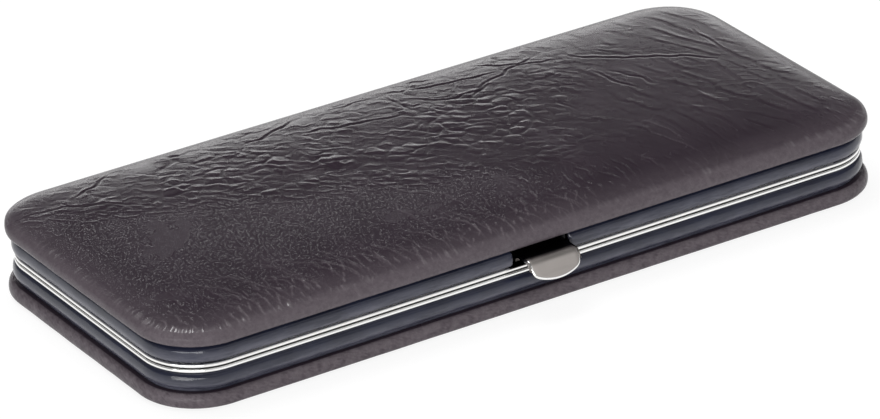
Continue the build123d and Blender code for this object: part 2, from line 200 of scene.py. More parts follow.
def face_outwards(piece):
    """Turns all faces of a closed piece outwards."""
    mesh = bmesh.new()
    mesh.from_mesh(piece.data)
    bmesh.ops.recalc_face_normals(mesh, faces=mesh.faces)
    mesh.to_mesh(piece.data)
    mesh.free()


def row_faces(start, rows, count, around=True, ends=False):
    """Quads over rows of count points. Around joins a row's two ends, ends joins the last row to the first."""
    faces = []
    for row in range(rows if ends else rows - 1):
        near, far = start + row * count, start + (row + 1) % rows * count
        for i in range(count if around else count - 1):
            j = (i + 1) % count
            faces.append((near + i, near + j, far + j, far + i))
    return faces


def outline_path(radius, step):
    """Corner centres and outward normals once round the case, from the front's middle."""
    a, b = HALF_LENGTH - radius, HALF_WIDTH - radius
    arc = max(6, int(round(radius * math.pi / 2 / step)))
    along_x = max(2, int(round(2 * a / step)))
    along_y = max(2, int(round(2 * b / step)))
    bases, normals = [], []

    def straight(p, q, normal, count):
        for t in np.arange(count) / count:
            bases.append((p[0] + (q[0] - p[0]) * t, p[1] + (q[1] - p[1]) * t))
            normals.append(normal)

    def turn(centre, first):
        for i in range(arc):
            angle = first + math.pi / 2 * i / arc
            bases.append(centre)
            normals.append((math.cos(angle), math.sin(angle)))

    straight((0.0, -b), (a, -b), (0.0, -1.0), along_x // 2)
    turn((a, -b), -math.pi / 2)
    straight((a, -b), (a, b), (1.0, 0.0), along_y)
    turn((a, b), 0.0)
    straight((a, b), (-a, b), (0.0, 1.0), along_x)
    turn((-a, b), math.pi / 2)
    straight((-a, b), (-a, -b), (-1.0, 0.0), along_y)
    turn((-a, -b), math.pi)
    straight((-a, -b), (0.0, -b), (0.0, -1.0), along_x // 2)
    return np.array(bases), np.array(normals)


def ring_points(bases, normals, radius, inset, height):
    """The outline at an inset and a height."""
    flat = bases + normals * (radius - inset)
    return np.column_stack([flat, np.full(len(flat), float(height))])


# ---------------------------------------------------------------- crushed grain
def ramp(value, low, high):
    """0 below low, 1 above high, smooth between."""
    t = np.clip((value - low) / (high - low), 0, 1)
    return t * t * (3 - 2 * t)


def bell(value, width):
    """1 at 0, falling smoothly to both sides."""
    return np.exp(-(value / width) ** 2)


def bilinear(values, v, u, ease=False):
    """Values of a grid at rows v and columns u, between its points."""
    i, j = v.astype(int), u.astype(int)
    fv, fu = v - i, u - j
    if ease:
        fv, fu = fv * fv * (3 - 2 * fv), fu * fu * (3 - 2 * fu)
    low = values[i, j] * (1 - fu) + values[i, j + 1] * fu
    high = values[i + 1, j] * (1 - fu) + values[i + 1, j + 1] * fu
    return low * (1 - fv) + high * fv


def grain_axes(x, y):
    """Places along the grain, which runs down to the right over the lid, and square to it."""
    return x * 0.8 - y * 0.6, x * 0.6 + y * 0.8


class CreaseMap:
    """Slow fields over the cover, laid out on a grid and sampled anywhere."""

    PIXEL, MARGIN = 0.4 * MM, 4 * MM
    PACKET_REACH = 2.3

    def __init__(self, seed):
        self.random = np.random.default_rng(seed)
        self.x0, self.y0 = -HALF_LENGTH - self.MARGIN, -HALF_WIDTH - self.MARGIN
        self.nx = int(2 * (HALF_LENGTH + self.MARGIN) / self.PIXEL) + 2
        self.ny = int(2 * (HALF_WIDTH + self.MARGIN) / self.PIXEL) + 2
        xs = self.x0 + np.arange(self.nx) * self.PIXEL
        ys = self.y0 + np.arange(self.ny) * self.PIXEL
        self.x, self.y = np.meshgrid(xs, ys)

    def ripples(self, wavelength, run, width, direction, density):
        """Wave packets added up as complex numbers: the angle is the ripples' phase, which grows
        towards the back, and the size is their strength."""
        field = np.zeros(self.x.shape, complex)
        area = self.nx * self.ny * self.PIXEL**2
        count = int(density * area / (run * width))
        reach = int(self.PACKET_REACH * run / self.PIXEL)
        columns = self.random.integers(0, self.nx, count)
        rows = self.random.integers(0, self.ny, count)
        turns = self.random.normal(0, 1, count)
        phases = self.random.uniform(0, 2 * math.pi, count)
        stretch = self.random.uniform(0.8, 1.25, count)
        for c, r, turn, phase, scale in zip(columns, rows, turns, phases, stretch):
            x, y = self.x0 + c * self.PIXEL, self.y0 + r * self.PIXEL
            angle = direction(x, y, turn)
            part = (slice(max(0, r - reach), min(self.ny, r + reach)),
                    slice(max(0, c - reach), min(self.nx, c + reach)))
            dx, dy = self.x[part] - x, self.y[part] - y
            along = dx * math.cos(angle) + dy * math.sin(angle)
            across = dy * math.cos(angle) - dx * math.sin(angle)
            packet = np.exp(-(along / run) ** 2 - (across / width) ** 2)
            field[part] += packet * np.exp(1j * (across * 2 * math.pi / (wavelength * scale) + phase))
        return field / math.sqrt((np.abs(field) ** 2).mean())

    def smooth_noise(self, size):
        """Soft blobs of about the given size, standard deviation 1."""
        coarse = max(2, int(size / self.PIXEL))
        rows, columns = self.ny // coarse + 3, self.nx // coarse + 3
        values = self.random.normal(0, 1, (rows, columns))
        v, u = np.arange(self.ny) / coarse, np.arange(self.nx) / coarse
        return bilinear(values, v[:, None], u[None, :], ease=True)

    def sample(self, field, x, y):
        """Value of a field at points, by linear interpolation."""
        u = np.clip((x - self.x0) / self.PIXEL, 0, self.nx - 1.001)
        v = np.clip((y - self.y0) / self.PIXEL, 0, self.ny - 1.001)
        return bilinear(field, v, u)


def cells(u, v, random, jitter=0.44):
    """Rounded cells about 1 unit wide: how far each point is from its cell's border, and a number
    for the cell."""
    rows, columns = int(v.max() - v.min()) + 7, int(u.max() - u.min()) + 7
    middles = random.uniform(-jitter, jitter, (2, rows, columns)) + 0.5
    tones = random.uniform(0, 1, (rows, columns))
    u, v = u - u.min() + 3, v - v.min() + 3
    column, row = u.astype(int), v.astype(int)
    first, second = np.full(u.shape, 9.0), np.full(u.shape, 9.0)
    tone = np.zeros(u.shape)
    for i in (-2, -1, 0, 1, 2):
        for j in (-2, -1, 0, 1, 2):
            r, c = row + i, column + j
            away = np.hypot(u - c - middles[0, r, c], v - r - middles[1, r, c])
            closer = away < first
            second = np.where(closer, first, np.minimum(second, away))
            first = np.where(closer, away, first)
            tone = np.where(closer, tones[r, c], tone)
    return second - first, tone


def pillow(border, edge):
    """A rounded top that falls to 0 at the border."""
    return 1 - (1 - np.clip(border / edge, 0, 1)) ** 2


def crest(field, back, front, trough):
    """Ridges at phase 0: a slope on the back side, a steeper one in front, and a groove before them.
    Also gives how deep in the groove each place is."""
    phase, power = np.angle(field), ramp(np.abs(field), 0.2, 0.85)
    ridge = np.where(phase > 0, bell(phase, back), bell(phase, front))
    groove = bell(phase + 1.75 * front, 0.8 * front)
    return power * (ridge - trough * groove), power * groove


LONG_CREASES = (
    # strength (below 0 for a raised line), then the line's points in millimetres on the lid
    (1.0, ((-67.3, 25.7), (-62.6, 28.3), (-55.9, 32.4))),
    (0.7, ((-79.4, 26.7), (-70.3, 24.5), (-63.3, 19.8), (-60.0, 15.2))),
    (1.0, ((-28.9, 26.4), (-22.0, 28.4), (-17.2, 29.8), (-13.0, 30.8))),
    (1.0, ((-17.8, 24.0), (-11.1, 22.3), (-4.2, 20.1), (-0.3, 19.3), (4.5, 18.6))),
    (0.6, ((-7.1, 30.4), (-1.8, 30.5), (2.8, 30.1))),
    (1.0, ((10.1, 28.7), (15.6, 27.6), (23.0, 25.6), (29.5, 24.3))),
    (0.9, ((8.5, 24.8), (13.5, 19.0), (18.9, 19.1), (26.4, 19.5))),
    (0.7, ((4.7, 29.7), (5.7, 21.8), (7.0, 17.8))),
    (-0.6, ((-19.2, -1.1), (-16.7, -6.0), (-14.3, -11.9), (-9.9, -15.2), (-8.1, -22.5))),
    (-0.6, ((-19.8, -10.8), (-19.9, -17.8), (-18.4, -25.0), (-16.1, -28.8))),
    (-0.6, ((-15.1, -18.4), (-13.6, -23.6), (-11.7, -28.0), (-9.3, -27.8))),
    (1.0, ((44.0, 21.9), (48.8, 17.9), (54.7, 13.5), (63.7, 7.7), (68.7, 3.4))),
    (0.8, ((26.6, 30.9), (34.8, 24.7), (42.7, 21.9))),
    (0.7, ((44.0, 13.8), (45.2, 6.9), (47.4, 0.1))),
    (0.7, ((46.6, 11.8), (49.6, 5.6), (51.7, 0.0))),
    (0.6, ((31.2, 8.2), (30.7, 3.5), (32.0, -0.5))),
    (0.8, ((16.3, 16.3), (22.9, 20.5), (28.2, 22.6), (39.8, 27.1))),
    (-0.6, ((38.4, -10.4), (40.6, -17.1), (42.7, -24.7))),
    (-0.5, ((29.8, -22.2), (31.2, -26.2), (32.3, -31.2))),
    (-0.7, ((55.4, -2.9), (56.2, -10.5), (56.9, -16.1))),
    (-0.5, ((47.2, -8.8), (53.5, -14.6), (61.5, -22.6))),
    (-0.6, ((37.4, -12.6), (38.8, -19.8), (41.7, -30.1))),
    (0.6, ((72.4, 20.0), (72.3, 13.0), (72.4, 5.7))),
)

# Fine raised lines along the front rim: their number, the span they start on and the rim's place, in mm
ARC_COUNT, ARC_SPAN, ARC_START = 46, (-68, 12), -35.3
# Long creases: the length of a step, how far they stray and how long they take to fade
CREASE_STEP, CREASE_STRAY, CREASE_FADE = 0.8 * MM, 0.55 * MM, 4 * MM


def front_arcs():
    """Fine raised lines that leave the front rim square to it and bend to the left."""
    random = np.random.default_rng(ARC_COUNT)
    arcs = []
    for start in np.linspace(*ARC_SPAN, ARC_COUNT) + random.normal(0, 1.6, ARC_COUNT):
        heading = np.radians(np.linspace(88, random.uniform(120, 165), 7))
        stride = random.uniform(0.7, 2.2) * (1 + 0.6 * bell(start + 45, 18))
        run = np.column_stack([np.cos(heading), np.sin(heading)]) * stride
        points = np.vstack([[start, ARC_START], [start, ARC_START] + np.cumsum(run, axis=0)])
        arcs.append((-random.uniform(0.3, 0.75), points))
    return arcs


def wandering_line(points, random):
    """A finely stepped line through points that strays a little to its sides, and its fade at the ends."""
    lengths = np.linalg.norm(np.diff(points, axis=0), axis=1)
    run = np.concatenate([[0], np.cumsum(lengths)])
    count = max(6, int(run[-1] / CREASE_STEP))
    t = np.linspace(0, run[-1], count)
    px, py = np.interp(t, run, points[:, 0]), np.interp(t, run, points[:, 1])
    kernel = np.hanning(7) / np.hanning(7).sum()
    wander = np.convolve(random.normal(0, CREASE_STRAY, count + 6), kernel, "valid")
    dx, dy = np.gradient(px), np.gradient(py)
    size = np.hypot(dx, dy)
    fade = np.minimum(1, np.minimum(t, run[-1] - t) / CREASE_FADE)
    return px - dy / size * wander, py + dx / size * wander, fade


def beside_line(x, y, px, py, fade):
    """How far points are from a line, below 0 on its front side, and the line's strength beside them."""
    best, side, power = np.full(x.shape, 1.0), np.zeros(x.shape), np.zeros(x.shape)
    for i in range(len(px) - 1):
        ux, uy = px[i + 1] - px[i], py[i + 1] - py[i]
        share = np.clip(((x - px[i]) * ux + (y - py[i]) * uy) / (ux * ux + uy * uy), 0, 1)
        ox, oy = x - px[i] - share * ux, y - py[i] - share * uy
        away = np.hypot(ox, oy)
        closer = away < best
        best = np.where(closer, away, best)
        side = np.where(closer, grain_axes(ox, oy)[1], side)
        power = np.where(closer, fade[i] + (fade[i + 1] - fade[i]) * share, power)
    return np.where(side >= 0, best, -best), power


def crease_lines(x, y, random, width):
    """Heights of the long creases at points, how deep in one each place is, which is painted as shade, and how
    far up a raised one, which is painted as a highlight.
    """
    height, dark, raised = (np.zeros_like(x) for _ in range(3))
    margin = 2 * MM
    for strength, line in [*LONG_CREASES, *front_arcs()]:
        px, py, fade = wandering_line(np.array(line) * MM, random)
        near = np.flatnonzero((x > px.min() - margin) & (x < px.max() + margin)
                              & (y > py.min() - margin) & (y < py.max() + margin))
        away, power = beside_line(x[near], y[near], px, py, fade * abs(strength))
        core = power * bell(away, 0.5 * width)
        if strength < 0:
            height[near] += 0.4 * core
            raised[near] = np.maximum(raised[near], power * bell(away, 0.26 * width))
        else:
            height[near] += 0.5 * power * bell(away - 0.9 * width, 0.6 * width) - core
            dark[near] += core
    return height, dark, raised


def share_between(value, low, high):
    """0 at low, 1 at high, straight between."""
    return min(1.0, max(0.0, (value - low) / (high - low)))


def ripple_fields(grain, space, fine_space):
    """The large ridges, the soft folds and the fine wrinkles as ripples, each running its own way."""

    def large_way(px, py, turn):
        """Diagonal at the left, turning along the hinge side near it."""
        share = share_between(grain_axes(px, py)[0], -15 * MM, 45 * MM)
        back = share_between(py / HALF_WIDTH, 0.35, 0.95)
        return math.radians(-36 + 18 * back * (1 - share) - 14 * share + 17 * turn)

    def soft_way(px, py, turn):
        return math.radians(-76 + 12 * turn)

    def fine_way(px, py, turn):
        """Diagonal, turning square to the front rim near it."""
        return math.radians(-40 - 58 * share_between(-py, 12 * MM, 25 * MM) + 22 * turn)

    sway = np.exp(1j * (1.1 * grain.smooth_noise(2.2 * MM) + 0.6 * grain.smooth_noise(1.2 * MM)))
    large = sway * grain.ripples(space, 1.5 * space, 1.1 * space, large_way, 4.0)
    soft = grain.ripples(1.5 * space, 3.6 * space, 1.5 * space, soft_way, 4.0)
    fine = grain.ripples(fine_space, 3.0 * fine_space, 1.2 * fine_space, fine_way, 3.0)
    return large, soft, fine


def grain_zones(grain, blotch, patch, sparse):
    """Where the strong ridges, the soft folds and the thin wrinkles lie, where crests get a painted highlight,
    and the pebbled parts.
    """
    across, deep = (place / MM for place in grain_axes(grain.x, grain.y))
    border = deep - (-11.0 + 0.22 * across) + 2.2 * blotch
    ridged = ramp(border, -5.5, 5.0)
    right = ramp(across + 4 * blotch, 6.0, 40.0)
    middle = ramp(across + 4 * blotch, -26.0, 6.0)
    front = 1 - ramp(grain.y / MM + 1.5 * blotch, -33.0, -14.0)
    fringe = bell(border + 2.5, 3.5) * (1 - right)
    strong = ridged * (1 - 0.85 * right) * (1 - 0.3 * middle) * np.clip(0.9 + 0.35 * patch, 0.25, 1.5)
    folds = (0.12 + 0.88 * ramp(deep, 2.0, 20.0)) * right * np.clip(0.8 + 0.4 * patch, 0.1, 1.5)
    spread = np.clip(0.25 + 0.9 * front + 0.3 * right, 0, 1.1)
    wrinkled = ramp(sparse + 0.7 * front, -0.2, 0.9) * spread * (1 - 0.6 * ridged)
    thin = np.clip(wrinkled + 0.8 * fringe, 0, 1.1)
    return strong, folds, thin, front * (1 - 0.8 * right), (1 - 0.7 * ridged) * (1 - 0.65 * right)


def ridge_scales(along, back, rim_side, thick, random):
    """Rounded scales and the seams between them: small in the field, broad towards the hinge side."""
    small, tone = cells(along / 1.35, back / 1.05, random)
    broad, _ = cells(along / 2.6, back / 1.9, random)
    firm = np.clip(0.75 + 0.45 * thick, 0.15, 1.3)
    scales = firm * ((1 - 0.75 * rim_side) * (0.55 + 0.45 * tone) * pillow(small, 0.7)
                     + (0.15 + 0.5 * rim_side) * pillow(broad, 0.35))
    seams = firm * ((1 - 0.7 * rim_side) * bell(small, 0.13) + rim_side * bell(broad, 0.08))
    return scales, seams


def crushed_grain(x, y, crease, seed):
    """Crushed grain at points: heights, how creased each place is for its painted shade, how much its crests
    are painted paler as a highlight, and how pebbled it is.
    """
    grain = CreaseMap(seed)

    def at_points(field):
        return grain.sample(field, x, y)

    blotch, patch, sparse = (grain.smooth_noise(size * MM) for size in (11, 5, 4))
    large, soft, fine = (at_points(field) for field in
                         ripple_fields(grain, crease.spacing, crease.fine_spacing))
    strong, folds, thin, crest_highlight_zone, pebbled = (at_points(zone) for zone in
                                          grain_zones(grain, blotch, patch, sparse))
    blotch = at_points(blotch)
    bend_u, bend_v, thick = (at_points(grain.smooth_noise(size * MM)) for size in (2.4, 2.4, 4.5))
    along, back = (place / crease.spacing + 0.16 * bend
                   for place, bend in zip(grain_axes(x, y), (bend_u, bend_v)))
    rim_side = ramp(y / MM + 2.0 * blotch, 17.0, 27.0)
    scales, seams = ridge_scales(along, back, rim_side, thick, grain.random)
    tall, groove = crest(large, 1.2, 0.5, 0.2)
    wide, hollow = crest(soft, 1.3, 0.85, 0.35)
    low, _ = crest(fine, 0.75, 0.55, 0.2)
    lines, dark, raised = crease_lines(x, y, grain.random, crease.line_width)
    strong = strong * (1 - 0.35 * rim_side)
    height = (crease.depth * strong * (scales + 0.45 * tall + 0.25 * blotch)
              + 0.23 * crease.depth * folds * wide
              + crease.fine_depth * thin * low
              + crease.line_depth * lines)
    # Grooves, seams, hollows and long creases, where the leather is painted darker: painted shade.
    creased = np.clip(strong * (0.4 * groove + 0.7 * seams) + 0.3 * folds * hollow + dark, 0, 1)
    # Crests of the fine wrinkles towards the front and the raised lines, which are painted paler: a painted
    # highlight.
    wear_and_highlight = 0.55 * thin * crest_highlight_zone * np.clip(1.6 * low - 0.6, 0, 1) + 0.7 * raised
    return height, creased, wear_and_highlight, pebbled


# ---------------------------------------------------------------- wiring
class Wiring:
    """Adds nodes to a node tree. Any value may be a number, a colour or another node's output."""

    def __init__(self, tree, vector=None):
        self.tree, self.vector = tree, vector

    def put(self, socket, value):
        if isinstance(value, bpy.types.NodeSocket):
            self.tree.links.new(value, socket)
        elif socket.type == "RGBA":
            socket.default_value = (*value, 1.0)
        else:
            socket.default_value = value

    def add(self, kind, **inputs):
        """A node with its inputs set by name."""
        made = self.tree.nodes.new("ShaderNode" + kind)
        for name, value in inputs.items():
            self.put(made.inputs[name.replace("_", " ")], value)
        return made

    def maths(self, operation, first, second=None, clamp=False):
        made = self.add("Math")
        made.operation, made.use_clamp = operation, clamp
        self.put(made.inputs[0], first)
        if second is not None:
            self.put(made.inputs[1], second)
        return made.outputs[0]

    def times(self, first, second, clamp=False):
        return self.maths("MULTIPLY", first, second, clamp)

    def spread(self, value, low, high, new_low=0.0, new_high=1.0):
        """Takes low to new_low and high to new_high, and stops there."""
        return self.add("MapRange", Value=value, From_Min=low, From_Max=high, To_Min=new_low,
                        To_Max=new_high).outputs["Result"]

    def mix(self, factor, first, second):
        """Mixes two colours."""
        made = self.add("Mix")
        made.data_type = "RGBA"
        for slot, value in ((0, factor), (6, first), (7, second)):
            self.put(made.inputs[slot], value)
        return made.outputs[2]

    def noise(self, scale, detail=2.0, roughness=0.5, vector=None, **more):
        return self.add("TexNoise", Vector=vector or self.vector, Scale=scale, Detail=detail,
                        Roughness=roughness, **more).outputs["Fac"]

    def bump(self, height, distance, strength=1.0, **more):
        return self.add("Bump", Height=height, Distance=distance, Strength=strength, **more).outputs["Normal"]

    def stretched(self, scale, turn=(0.0, 0.0, 0.0)):
        return self.add("Mapping", Vector=self.vector, Scale=scale, Rotation=turn).outputs["Vector"]

    def apart(self, vector):
        return self.add("SeparateXYZ", Vector=vector).outputs


class Recipe(Wiring):
    """A finish under way: wiring over the piece's own coordinates that ends in one shader."""

    def __init__(self, name):
        self.material = bpy.data.materials.new(name)
        self.material.use_nodes = True
        super().__init__(self.material.node_tree)
        self.tree.nodes.clear()
        self.vector = self.add("TexCoord").outputs["Object"]

    def group(self, maker, **values):
        """The outputs of a shared effect, which is built once."""
        made = self.add("Group")
        made.node_tree = bpy.data.node_groups.get(maker.__name__) or maker(maker.__name__)
        for name, value in dict(values, Vector=self.vector).items():
            self.put(made.inputs[name.replace("_", " ")], value)
        return made.outputs

    def mark(self, name):
        """A value that the mesh carries."""
        made = self.add("Attribute")
        made.attribute_name = name
        return made.outputs["Fac"]

    def surface(self, **inputs):
        shader = self.add("BsdfPrincipled", **inputs)
        self.add("OutputMaterial", Surface=shader.outputs["BSDF"])
        return self.material


def toned(colour, share):
    """A colour made lighter or darker."""
    return tuple(min(1.0, c * share) for c in colour)


# ---------------------------------------------------------------- shared effects
def new_group(name, numbers, results):
    """A node group over a vector, with named numbers in and numbers out: wiring, inputs and outputs."""
    group = bpy.data.node_groups.new(name, "ShaderNodeTree")
    group.interface.new_socket("Vector", in_out="INPUT", socket_type="NodeSocketVector")
    for label, value in numbers.items():
        socket = group.interface.new_socket(label, in_out="INPUT", socket_type="NodeSocketFloat")
        socket.default_value = value
    for label in results:
        group.interface.new_socket(label, in_out="OUTPUT", socket_type="NodeSocketFloat")
    given, result = group.nodes.new("NodeGroupInput"), group.nodes.new("NodeGroupOutput")
    return Wiring(group, given.outputs["Vector"]), given.outputs, result.inputs


def leather_pores(name):
    """Fine pebbles and pores of leather; the scale is in pebbles per metre."""
    make, given, result = new_group(name, {"Scale": 2200.0, "Pore Share": 0.4}, ("Height", "Variation"))
    dots = make.add("TexVoronoi", Vector=make.vector, Scale=given["Scale"]).outputs["Distance"]
    beads = make.spread(dots, 0.05, 0.46, 1.0, 0.0)
    patches = make.noise(make.times(given["Scale"], 0.7), 1.0)
    pebbles = make.times(beads, make.spread(patches, 0.24, 0.54))
    pores = make.times(make.noise(make.times(given["Scale"], 2.3), 3.0), given["Pore Share"])
    make.put(result["Height"], make.maths("ADD", pebbles, pores))
    make.put(result["Variation"], make.noise(90.0))
    return make.tree


def metal_scuffs(name):
    """Hairline scuffs and finger haze on polished metal."""
    make, given, result = new_group(name, {"Scale": 900.0, "Amount": 0.5}, ("Mask", "Height"))
    squeezed = make.stretched((0.12, 1.0, 1.0), (0.1, 0.2, 0.35))
    lines = make.noise(given["Scale"], 4.0, vector=squeezed)
    scuffs = make.times(make.spread(lines, 0.52, 0.72), make.noise(160.0))
    make.put(result["Mask"], make.times(scuffs, given["Amount"]))
    make.put(result["Height"], lines)
    return make.tree


def suede_nap(name):
    """The brushed nap of suede: streaky light and dark, and a fibrous height."""
    make, given, result = new_group(name, {"Fibre Scale": 2600.0, "Brush Scale": 45.0}, ("Brush", "Height"))
    brush = make.noise(given["Brush Scale"], 3.0, Distortion=0.8)
    make.put(result["Brush"], make.spread(brush, 0.35, 0.65))
    make.put(result["Height"], make.noise(given["Fibre Scale"], 5.0, 0.7))
    return make.tree


# ---------------------------------------------------------------- finishes
def cover_leather(name, colours):
    """Dark aubergine leather with a crushed, half-gloss finish, darker in the creases as painted shade, paler
    at the rims as part rubbing and part painted light, and paler on crests and puckers as a painted highlight.
    """
    make = Recipe(name)
    grain = make.group(leather_pores, Scale=2650.0, Pore_Share=0.2)
    crease, rim, pebbled, pleat = (make.mark(label) for label in ("crease", "rim", "pebbled", "pleat"))
    fresh = make.mix(make.spread(grain["Variation"], 0.3, 0.7), colours.leather, toned(colours.leather, 1.25))
    # Painted shade: the leather darkened in its creases.
    creased = make.mix(make.times(crease, 0.34, True), fresh, toned(colours.leather, 0.35))
    pebbles = make.times(grain["Height"], pebbled)
    patchy = make.spread(make.noise(900.0, 5.0, 0.75), 0.36, 0.62, 0.72, 1.0)
    # Paler where the rim mark and the pebbles say: rubbing and painted light on the rims, painted highlight on
    # crests and puckers.
    rub_and_light = make.maths("ADD", make.times(rim, patchy, True), make.times(pebbles, 0.09), True)
    rough = make.spread(grain["Variation"], 0.3, 0.7, 0.24, 0.28)
    return make.surface(
        Base_Color=make.mix(rub_and_light, creased, colours.leather_rub),
        Roughness=make.maths("ADD", rough, make.times(crease, 0.12), True),
        Specular_IOR_Level=0.14,
        Coat_Weight=make.times(pleat, 1.8, True), Coat_Roughness=0.14, Coat_IOR=1.8,
        Normal=make.bump(pebbles, 0.037 * MM),
    )


def band_leather(name, colours):
    """Smooth glossy blue-black leather of the side bands, painted paler and streaky towards the bottom of each
    band as a painted reflection, and dark at the top as painted shade.
    """
    make = Recipe(name)
    grain = make.group(leather_pores, Scale=1500.0, Pore_Share=0.8)
    fresh = make.mix(make.spread(make.noise(120.0, 3.0), 0.35, 0.65), colours.band, toned(colours.band, 1.5))
    streaks = make.noise(420.0, 4.0, 0.65, make.stretched((0.3, 0.3, 1.6)))
    streaks = make.spread(streaks, 0.36, 0.62, 0.3, 1.0)
    return make.surface(
        # Painted reflection: paler and streaky towards the bottom of the band, leaving the top dark as painted
        # shade.
        Base_Color=make.mix(make.times(make.mark("rub_and_light"), streaks, True), fresh, colours.band_rub),
        Roughness=make.spread(make.noise(400.0, 3.0), 0.3, 0.7, 0.12, 0.22),
        Specular_IOR_Level=0.5,
        Normal=make.bump(grain["Height"], 0.02 * MM, 0.35, Normal=make.bump(streaks, 0.05 * MM, 0.5)),
    )


def strap_leather(name, colours):
    """Smooth dark strap leather."""
    make = Recipe(name)
    grain = make.group(leather_pores, Scale=1900.0, Pore_Share=0.6)
    tone = make.spread(make.noise(180.0, 3.0), 0.35, 0.7)
    return make.surface(
        Base_Color=make.mix(tone, colours.strap, toned(colours.strap, 1.7)),
        Roughness=make.spread(tone, 0.0, 1.0, 0.42, 0.56),
        Normal=make.bump(grain["Height"], 0.05 * MM, 0.5),
    )


def suede(name, colours):
    """Short brushed suede of the lining."""
    make = Recipe(name)
    pile = make.group(suede_nap)
    brushed = make.mix(pile["Brush"], toned(colours.lining, 0.82), toned(colours.lining, 1.18))
    speckle = make.spread(pile["Height"], 0.35, 0.65, 0.0, 0.3)
    return make.surface(
        Base_Color=make.mix(speckle, brushed, toned(colours.lining, 0.6)),
        Roughness=0.95, Sheen_Weight=0.35, Sheen_Roughness=0.5, Specular_IOR_Level=0.15,
        Normal=make.bump(pile["Height"], 0.12 * MM, 0.7),
    )


def latch_recess(make):
    """1 inside the latch's opening through the front, by the pieces' own places: where the metal is painted
    black as shade.
    """
    place = make.apart(make.vector)
    away = make.maths("ABSOLUTE", place["X"])
    side = make.spread(away, NOTCH_HALF + 0.05 * MM, NOTCH_HALF + 0.25 * MM, 1.0, 0.0)
    above = make.spread(place["Z"], PARTING + 0.70 * MM, PARTING + 0.85 * MM)
    behind = make.spread(place["Y"], -39.6 * MM, -37.6 * MM)
    return make.times(make.times(side, above), behind)


def metal(name, colour, low, high, amount, shade_in_recess=False):
    """Polished or satin metal with hairline scuffs, painted black as shade in the latch's opening where asked.
    """
    make = Recipe(name)
    marks = make.group(metal_scuffs, Amount=amount)
    haze = make.spread(make.noise(220.0, 3.0), 0.35, 0.7)
    wear_and_highlight = make.mix(marks["Mask"], colour, toned(colour, 0.72))
    tint = make.mix(make.times(haze, 0.15), wear_and_highlight, toned(colour, 0.85))
    # Painted shade: the metal in the latch's opening is painted black.
    if shade_in_recess:
        tint = make.mix(latch_recess(make), tint, (0.012, 0.012, 0.016))
    rough = make.spread(haze, 0.0, 1.0, low, high)
    return make.surface(
        Base_Color=tint, Metallic=1.0,
        Roughness=make.maths("ADD", rough, make.times(marks["Mask"], 0.2), True),
        Normal=make.bump(marks["Height"], 0.004 * MM, 0.15),
    )


def blackened_sheet(name, colours):
    """Blackened sheet of the latch housing."""
    make = Recipe(name)
    speck = make.spread(make.noise(1400.0, 4.0), 0.45, 0.75)
    return make.surface(
        Base_Color=make.mix(speck, colours.black, toned(colours.black, 2.2)),
        Roughness=make.spread(speck, 0.0, 1.0, 0.55, 0.7),
        Normal=make.bump(speck, 0.01 * MM, 0.4),
    )


def sewing_thread(name, colours):
    """Twisted sewing thread."""
    make = Recipe(name)
    twist = make.add("TexWave", Vector=make.vector, Scale=900.0, Distortion=1.0).outputs["Fac"]
    return make.surface(
        Base_Color=make.mix(make.times(twist, 0.6), colours.thread, toned(colours.thread, 0.55)),
        Roughness=0.6,
        Normal=make.bump(twist, 0.03 * MM, 0.6),
    )


def fibre_board(name, colours):
    """Fibrous board inside a cover."""
    make = Recipe(name)
    fibre = make.noise(500.0, 5.0, 0.7)
    board = (0.30, 0.23, 0.15)
    return make.surface(
        Base_Color=make.mix(make.spread(fibre, 0.3, 0.7), board, toned(board, 0.7)),
        Roughness=0.9,
        Normal=make.bump(fibre, 0.1 * MM, 0.6),
    )


RECIPES = {
    "crushed_cover_leather": cover_leather,
    "glossy_band_leather": band_leather,
    "strap_leather": strap_leather,
    "suede_lining": suede,
    # Both nickels are painted black as shade in the latch's opening.
    "polished_nickel": lambda name, colours: metal(name, colours.nickel, 0.08, 0.16, 0.35, True),
    "satin_nickel": lambda name, colours: metal(name, colours.satin, 0.30, 0.38, 0.4, True),
    "satin_steel": lambda name, colours: metal(name, colours.steel, 0.28, 0.40, 0.6),
    "blackened_sheet": blackened_sheet,
    "sewing_thread": sewing_thread,
    "cover_board": fibre_board,
}


def finish(name):
    """A finish by name, built once."""
    return bpy.data.materials.get(name) or RECIPES[name](name, settings().finish)


def dress(nodes, name):
    """Gives the frame's nodes a finish."""
    for label in nodes:
        mesh = NODES[label].data
        mesh.materials.clear()
        mesh.materials.append(finish(name))


# ---------------------------------------------------------------- covers
# The rim's rings: where the face ends, the shares of that left over the edge, and the turned-in hem
FIRST_RING = 0.9 * MM
EDGE_SHARES = (0.72, 0.5, 0.32, 0.18, 0.08, 0.02, 0.0)
HEM_INSETS = (2.2 * MM, 3.6 * MM, 6 * MM)
# Puckers: the spacing of their knots, the size of their patches, and the strip they rise and fade in
PLEAT_KNOTS, PLEAT_PATCHES = 0.27 * MM, 5 * MM
PLEAT_RISE, PLEAT_FADE = (0.7 * MM, 1.3 * MM), (1.8 * MM, 3.0 * MM)
# How far the rim wanders, over how many knots
RIM_STRAY, RIM_KNOTS = 0.025 * MM, 140


